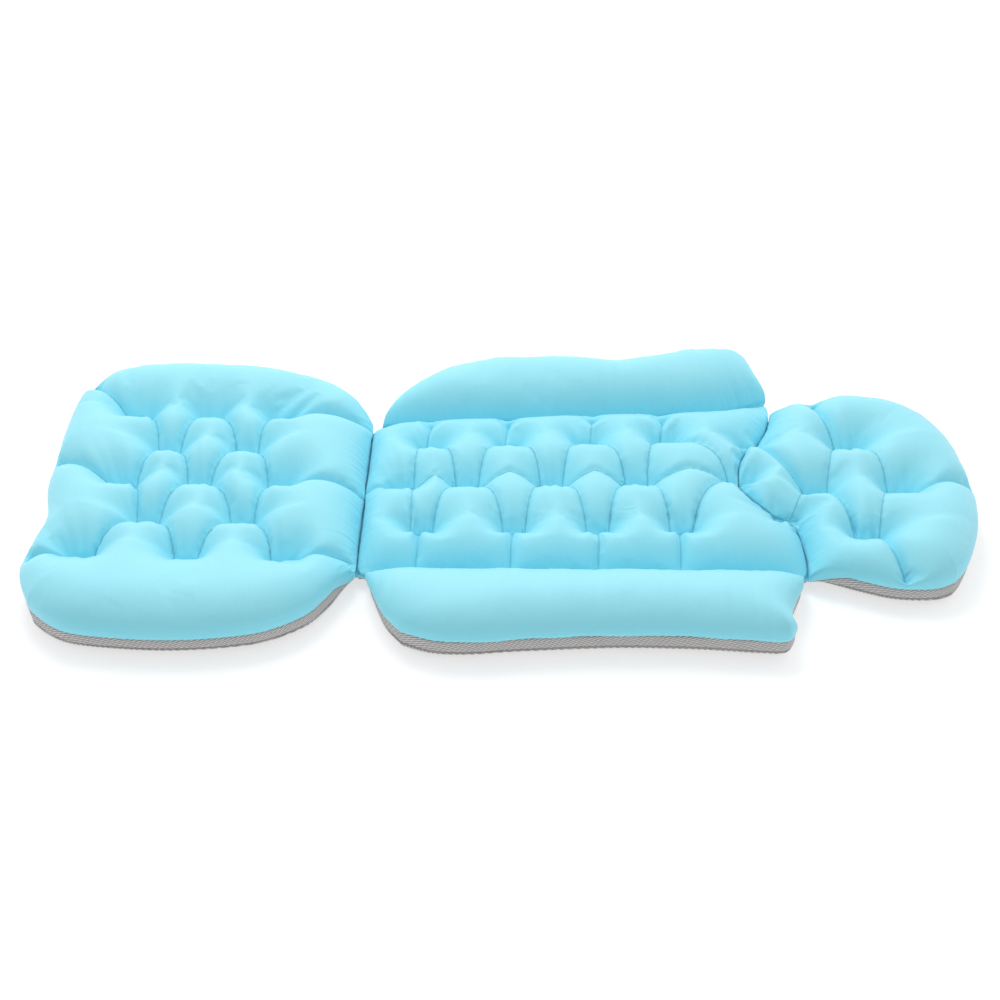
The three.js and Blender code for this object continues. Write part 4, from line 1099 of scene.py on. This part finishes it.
# %% Covers
COVERS = {
    "seat": (seat, (200, 250), 11), "back": (back, (260, 150), 12), "head": (head, (130, 180), 13),
    "right_bolster": (right_bolster, (64, 250), 14), "left_bolster": (left_bolster, (64, 250), 15),
}
covers = {}
for body, (panel, steps, seed) in COVERS.items():
    cover = cushion(f"{body}_quilted_cover", panel, steps, seed)
    cover.data.materials.append(BLUE)
    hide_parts(f"{body}_cover")
    covers[body] = cover


def in_metres(x, y, z=FOLD_LEVEL):
    """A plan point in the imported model's frame."""
    return ((x + SHIFT[0]) * MM, (y + SHIFT[1]) * MM, z * MM)


BENDS = {"head": (in_metres(380, 20), in_metres(450, 24)),
         "right_bolster": (in_metres(90, 170), in_metres(87, 213))}


def follow(obj, body):
    """The head's and the right bolster's pieces stay where they are made and are not carried by a body. The rest is
    carried.
    """
    if body in BENDS:
        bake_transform(obj)
    else:
        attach(obj, body)


for body, cover in covers.items():
    follow(cover, body)
print("covers:", sum(len(c.data.polygons) for c in covers.values()), "faces")

# %% [markdown]
# The filling lies inside each cover. It is the same form, without gathers, in steps of about 9 mm and some
# 11 mm lower.

# %% Fillings
PAD_DROP, PAD_INSET = 11.0, 14.0
for body, (panel, steps, seed) in COVERS.items():
    pad = cushion(f"{body}_fibre_pad", panel, (steps[0] // 4, steps[1] // 4), seed,
                  drop=PAD_DROP, inset=PAD_INSET, gathers=False)
    pad.data.materials.append(FIBRE)
    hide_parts(f"{body}_filling")
    follow(pad, body)

# %% [markdown]
# The underside is a shallow tray of air mesh. It is sewn to the cover at the seam, turns under at the rim,
# and lies flat across the middle. A second sheet 2 mm inside the first gives the cloth its thickness.

# %% Air-mesh trays
def tray(name, panel, steps):
    """Loops of the outline, each drawn in and lowered: seam, wall, rim and middle, and back up inside."""
    nu, nv = steps
    across, down = (graded(np.linspace(0, 1, n + 1), 0.45) for n in steps)
    s, t = np.meshgrid(across, down, indexing="ij")
    i, j = border_of(nu, nv)
    si, tj = s[i, j], t[i, j]

    def loop(sewn_in, free_in, sewn_level, free_level):
        ring = plan_points(panel, si, tj, sewn_in, free_in)
        return np.column_stack([ring, mixed_level(ring, panel, sewn_level, free_level)])

    rim = UNDERSIDE - 5.0
    seam = panel["seam"]
    outside = [loop(0, 4, FOLD_LEVEL - 0.15, seam)]
    for k in np.linspace(0.2, 1, 5):
        outside.append(loop(0, 4 + 2.5 * k - 1.6 * math.sin(np.pi * k), FOLD_LEVEL - 1.7 * k,
                            seam + (rim + 5.5 - seam) * k))
    for angle in np.radians([25, 50, 70, 90]):
        outside.append(loop(1.5 * math.sin(angle), 6.5 + 9 * (1 - math.cos(angle)),
                            UNDERSIDE + 0.8 * (1 - math.sin(angle)), rim + 5.5 * (1 - math.sin(angle))))
    for k in np.linspace(0.25, 1, 4):
        ease = k * k * (3 - 2 * k)
        outside.append(loop(1.5 + 8.5 * k, 15.5 + 20 * k, UNDERSIDE, rim + 5.0 * ease))
    inside = [loop(2, 6, FOLD_LEVEL - 0.15, seam), loop(3.5, 11, UNDERSIDE + 2, rim + 5.5),
              loop(10, 35.5, UNDERSIDE + 2, UNDERSIDE + 2)]
    points, quads, count = [], [], 0
    loops = []
    for ring in outside + inside:
        points.append(ring)
        loops.append(count + np.arange(len(ring)))
        count += len(ring)
    out, inn = loops[:len(outside)], loops[len(outside):]
    quads += [band(lower, upper) for upper, lower in zip(out[:-1], out[1:])]
    quads += [band(upper, lower) for upper, lower in zip(inn[:-1], inn[1:])]
    quads.append(band(out[0], inn[0]))
    plan = plan_points(panel, s, t, 10, 35.5)
    for level, last, flip in ((UNDERSIDE, out[-1], True), (UNDERSIDE + 2, inn[-1], False)):
        inner = np.column_stack([plan[1:-1, 1:-1].reshape(-1, 2), np.full((nu - 1) * (nv - 1), level)])
        index = np.empty((nu + 1, nv + 1), int)
        index[1:-1, 1:-1] = count + np.arange((nu - 1) * (nv - 1)).reshape(nu - 1, nv - 1)
        index[i, j] = last
        points.append(inner)
        count += len(inner)
        sheet = np.stack([index[:-1, :-1], index[1:, :-1], index[1:, 1:], index[:-1, 1:]], -1).reshape(-1, 4)
        quads.append(sheet[:, ::-1] if flip else sheet)
    points, quads = np.vstack(points), np.vstack(quads)
    run, _ = run_along(np.vstack([outside[0][:, :2], outside[0][:1, :2]]), points[:, :2])
    flat = np.column_stack([run, points[:, 2]])
    middle = points[:, 2] < UNDERSIDE + 2.5
    fade = np.where(middle[:, None], points[:, :2], flat)
    empty = np.zeros((0, 3), int)
    quads, empty, volume = outward(points, quads, empty)
    obj = mesh_object(name, points, quads, empty, fade)
    obj.data.materials.append(AIR_MESH)
    print(f"{name}: {len(quads)} faces, {volume / 1000:.0f} cubic centimetres of mesh cloth")
    return obj


fold_step = head_fold[1] - head_fold[0]
fold_side = EDGE_GAP * np.array([fold_step[1], -fold_step[0]]) / np.linalg.norm(fold_step)
near_in, far_in = np.array([0, EDGE_GAP]), np.array([0, -EDGE_GAP])
back_corners = [seat_fold[0] + (EDGE_GAP, EDGE_GAP), seat_fold[1] + (EDGE_GAP, -EDGE_GAP),
                head_fold[0] - fold_side + near_in, head_fold[1] - fold_side + far_in]
back_base = {**back, "sides": {"start": straight_side(back_corners[0], back_corners[1]),
                               "end": straight_side(back_corners[2], back_corners[3]),
                               "right": straight_side(back_corners[0], back_corners[2]),
                               "left": straight_side(back_corners[1], back_corners[3])},
             "sewn": [(seat_fold, 1), (head_fold, 1), (near_crease, 1), (far_chord, 1)]}
head_right = smooth_side(np.vstack([head_fold[0] + fold_side, head_at(HEAD_NEAR)]))
head_left = smooth_side(np.vstack([head_fold[1] + fold_side, head_at(HEAD_FAR)]))
head_base = {**head, "sides": {"start": straight_side(head_fold[0] + fold_side, head_fold[1] + fold_side),
                               "right": head_right, "left": head_left, "end": head["sides"]["end"]},
             "sewn": [(head_fold, 1)], "length": HEAD_LENGTH}
TRAYS = {"seat": (seat, (64, 80)), "back": (back_base, (80, 44)), "head": (head_base, (40, 60)),
         "right_bolster": (right_bolster, (22, 84)), "left_bolster": (left_bolster, (22, 84))}
for body, (panel, steps) in TRAYS.items():
    underside = tray(f"{body}_air_mesh_tray", panel, steps)
    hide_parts(f"{body}_mesh")
    follow(underside, body)

# %% [markdown]
# Small round-section parts are one profile carried along a path. At each point of the path a frame is made
# from its direction and the vertical, and the profile is laid into it.

# %% A profile carried along a path
def swept(path, profile, up=(0, 0, 1), closed=False):
    """Point (i, k) = path_i + side_i * profile_k.x + up_i * profile_k.y, in millimetres.
    side = direction x up, and up is turned square to the direction."""
    path, profile = np.asarray(path, float), np.asarray(profile, float)
    step = np.gradient(path, axis=0)
    if closed:
        step = np.roll(path, -1, axis=0) - np.roll(path, 1, axis=0)
    step /= np.linalg.norm(step, axis=1, keepdims=True)
    side = np.cross(step, np.asarray(up, float))
    side /= np.linalg.norm(side, axis=1, keepdims=True)
    rise = np.cross(side, step)
    points = path[:, None] + side[:, None] * profile[None, :, :1] + rise[:, None] * profile[None, :, 1:]
    n, m = len(path), len(profile)
    index = np.arange(n * m).reshape(n, m)
    rows = index if not closed else np.vstack([index, index[:1]])
    quads = np.stack([rows[:-1], np.roll(rows[:-1], -1, axis=1), np.roll(rows[1:], -1, axis=1), rows[1:]], -1)
    caps = np.zeros((0, 3), int)
    if not closed:
        fan = lambda ring: np.stack([np.full(m - 2, ring[0]), ring[1:-1], ring[2:]], -1)
        caps = np.vstack([fan(index[0])[:, ::-1], fan(index[-1])])
    return points.reshape(-1, 3), quads.reshape(-1, 4), caps


def oval(width, height, sides=10, power=1.0):
    """An ellipse as a profile; a power below 1 squares it off."""
    a = np.linspace(0, 2 * np.pi, sides, endpoint=False)
    x, y = np.cos(a), np.sin(a)
    return np.stack([np.sign(x) * np.abs(x) ** power * width / 2, np.sign(y) * np.abs(y) ** power * height / 2], -1)


def joined(parts):
    """Several (points, quads, triangles) as one."""
    points, quads, triangles, count = [], [], [], 0
    for p, q, t in parts:
        quads.append(q + count)
        triangles.append(t + count)
        points.append(p)
        count += len(p)
    return np.vstack(points), np.vstack(quads), np.vstack(triangles)


def solid_object(name, parts, material, uv_axes=(0, 1)):
    """One object of several closed parts, each turned outwards, with a flat UV map."""
    turned = []
    for p, q, t in parts:
        q, t, _ = outward(p - p.mean(axis=0), q, t)
        turned.append((p, q, t))
    points, quads, triangles = joined(turned)
    obj = mesh_object(name, points.copy(), quads, triangles, points[:, list(uv_axes)])
    obj.data.materials.append(material)
    return obj


# %% [markdown]
# At the folds a roll of turned-in cloth is oversewn. The roll is a rope with a slight ripple, and short slanted
# stitches lie over it a few millimetres apart.

# %% Sewn rolls on the fold lines
def roll_on(name, node, line, body, inset):
    """A rippled rope along a line at fold level, with slanted stitches over it."""
    run = np.concatenate([[0], np.cumsum(np.linalg.norm(np.diff(line, axis=0), axis=1))])
    at = np.linspace(inset, run[-1] - inset, 160)
    flat = np.stack([np.interp(at, run, line[:, 0]), np.interp(at, run, line[:, 1])], -1)
    path = np.column_stack([flat, np.full(len(at), FOLD_LEVEL) + 0.12 * np.sin(at / 2.1)])
    rope = swept(path, oval(5.3, 5.0, 14))
    # The roll has no crown attribute, so the blue material paints it in the darker shade colour.
    roll = solid_object(name, [rope], BLUE)
    step = (line[-1] - line[0]) / run[-1]
    side = np.array([-step[1], step[0]])
    stitches = []
    for place in np.arange(inset + 3, run[-1] - inset - 3, 4.2):
        centre = np.array([np.interp(place, run, line[:, 0]), np.interp(place, run, line[:, 1])])
        bend = np.linspace(-1, 1, 5)
        arch = np.column_stack([centre + side * bend[:, None] * 2.1 + step * bend[:, None] * 1.1,
                                FOLD_LEVEL + 2.7 - 1.3 * bend**2])
        stitches.append(swept(arch, oval(0.55, 0.45, 5), up=(0.02, 0.03, 1)))
    row = solid_object(f"{name}_stitches", stitches, THREAD)
    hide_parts(node)
    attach(roll, body)
    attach(row, body)


ROLLS = {"seat_fold": (seat_fold, 0, 1), "head_fold": (head_fold, 0, 1),
         "left_bolster": (near_crease, 0.02, 0.985), "right_bolster": (far_chord, 0.02, 0.94)}
for place, (line, first, last) in ROLLS.items():
    span = line[1] - line[0]
    roll_on(f"{place}_roll", f"{place}_seam", np.array([line[0] + first * span, line[0] + last * span]), "back", 6)
print("four sewn rolls")

# %% [markdown]
# Each tuft is a short bar of thread sewn through the whole cushion. It shows as a thin bar at the bottom of the
# pit and as another on the air mesh below.

# %% Tuft threads
THREAD_HALF = 9
for body, panel in (("seat", seat), ("back", back), ("head", head)):
    above, below = [], []
    base = top_level(panel["bars"], panel)
    for bar, level in zip(panel["bars"], base):
        across = np.linspace(-1, 1, 9)
        for row in (-0.4, 0.4):
            top = np.column_stack([bar[0] + across * THREAD_HALF, np.full(9, bar[1] + row),
                                   level + 0.25 - 0.4 * across**4])
            above.append(swept(top, oval(0.6, 0.5, 6)))
            low = top.copy()
            low[:, 2] = UNDERSIDE - 0.15 + 0.3 * across**4
            below.append(swept(low, oval(1.0, 0.8, 6)))
    follow(solid_object(f"{body}_tuft_threads", above, THREAD), body)
    follow(solid_object(f"{body}_tuft_threads_below", below, GREY_THREAD), body)
print("tuft threads on three cushions")

# %% [markdown]
# A suction cup is turned on a lathe: one profile spun round the vertical. A rounded lip, a thin hollow dome, a
# neck through the tape's buttonhole, and a mushroom stud above it.

# %% Suction cups and their tapes
def lathe(profile, sides, centre):
    """Point (a, k) = centre + (r_k cos a, r_k sin a, z_k); the two poles are single points."""
    profile = np.asarray(profile, float)
    a = np.linspace(0, 2 * np.pi, sides, endpoint=False)
    ring = profile[1:-1]
    body = np.stack([np.outer(ring[:, 0], np.cos(a)), np.outer(ring[:, 0], np.sin(a)),
                     np.repeat(ring[:, 1:], sides, axis=1)], -1)
    points = np.vstack([body.reshape(-1, 3), [(0, 0, profile[0, 1]), (0, 0, profile[-1, 1])]]) + centre
    index = np.arange(len(ring) * sides).reshape(len(ring), sides)
    quads = np.stack([index[:-1], np.roll(index[:-1], -1, axis=1), np.roll(index[1:], -1, axis=1), index[1:]], -1)
    first, last = len(ring) * sides, len(ring) * sides + 1
    caps = np.vstack([
        np.stack([np.full(sides, first), np.roll(index[0], -1), index[0]], -1),
        np.stack([np.full(sides, last), index[-1], np.roll(index[-1], -1)], -1)])
    return points, quads.reshape(-1, 4), caps


CUP = [(0, 5.0), (4, 4.9), (9, 4.3), (13, 3.3), (17, 1.8), (19.4, 0.35), (20.0, 0.0), (20.7, 0.1), (21, 0.5),
       (20.9, 1.1), (19.4, 2.5), (16.5, 4.2), (13, 5.6), (9, 6.8), (6.2, 7.4), (4.4, 7.7), (3.6, 8.1), (3.5, 8.8),
       (3.6, 9.3), (5.4, 9.45), (6.4, 9.8), (6.5, 10.4), (5.9, 11.1), (4.4, 11.5), (2, 11.6), (0, 11.6)]


def tape_tab(centre):
    """A strip sewn down at both ends that bridges the stud, as a profile of its thickness carried across."""
    low, high, thick = 9.1, 11.6, 1.2
    x = np.array([-25, -21, -17, -16, -14, -12, -8, -4.4, 4.4, 8, 12, 14, 16, 17, 21, 25], float)
    lift = np.interp(np.abs(x), [12, 14, 16], [0, 0.5, 1])
    z = low + (high - low) * lift
    y = np.linspace(-11, 11, 9)
    edge = 0.25 * (np.abs(y) / 11) ** 6
    upper = np.stack([np.repeat(x, 9), np.tile(y, len(x)), np.repeat(z, 9) - np.tile(edge, len(x))], -1)
    lower = upper - (0, 0, thick)
    lower[:, 2] += 2 * np.tile(edge, len(x))
    n = len(x)
    index = np.arange(n * 9).reshape(n, 9)
    keep = np.ones((n - 1, 8), bool)
    keep[7, 3:5] = False
    grid = np.stack([index[:-1, :-1], index[1:, :-1], index[1:, 1:], index[:-1, 1:]], -1)
    top, under = grid[keep], grid[keep][:, ::-1] + n * 9
    i, j = border_of(n - 1, 8)
    rim = index[i, j]
    hole = index[[7, 8, 8, 8, 7, 7], [3, 3, 4, 5, 5, 4]]
    walls = np.vstack([band(rim + n * 9, rim), band(hole, hole + n * 9)])
    return np.vstack([upper, lower]) + centre, np.vstack([top, under, walls]), np.zeros((0, 3), int)


for node in [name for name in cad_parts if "_cup_" in name and "_tab_" not in name]:
    low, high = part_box(node)
    centre = np.array([(low[0] + high[0]) / 2, (low[1] + high[1]) / 2, 0]) / MM - np.array([*SHIFT, 0])
    body = node.split("_cup_")[0]
    cup = solid_object(f"{node}_clear", [lathe(CUP, 40, centre)], PVC)
    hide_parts(node)
    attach(cup, body)
    tab = solid_object(f"{node}_tape", [tape_tab(centre)], TAPE)
    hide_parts(node.replace("_cup_", "_cup_tab_"))
    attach(tab, body)
    stitches = []
    for x in (-23.5, -18.0, 18.0, 23.5):
        for y in np.arange(-9, 10, 3.0):
            stitch = centre + np.column_stack([np.full(3, x), y + np.array([-1.1, 0, 1.1]), [10.35, 10.15, 10.35]])
            stitches.append(swept(stitch, oval(0.5, 0.4, 5)))
    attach(solid_object(f"{node}_tape_stitches", stitches, GREY_THREAD), body)

# %% [markdown]
# The hanging loop is a flat tape bent round in a half ring. It droops from the line that it is sewn along
# until it nearly meets the floor.

# %% Hanging loop
low, high = (np.array(c) / MM - np.array([*SHIFT, 0]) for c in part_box("hanging_loop"))
middle_y = (low[1] + high[1]) / 2
a = np.linspace(-np.pi / 2, np.pi / 2, 41)
reach, half = high[0] - low[0] - 3.0, (high[1] - low[1]) / 2 - 3.5
path = np.column_stack([low[0] + 1.6 + reach * np.cos(a) * 0.985, middle_y + half * np.sin(a), np.zeros(41)])
drop = np.interp(path[:, 0], [path[0, 0], path[20, 0]], [high[2] - 1.9, low[2] + 1.9])
path[:, 2] = drop + 0.5 * np.sin(2 * a) ** 2
loop = solid_object("hanging_loop_tape", [swept(path, oval(7, 2.6, 14, 0.7), up=(0.65, 0, 0.76))], TAPE)
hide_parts("hanging_loop")
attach(loop, "loop")
print("loop from", low.round(1), "to", high.round(1))
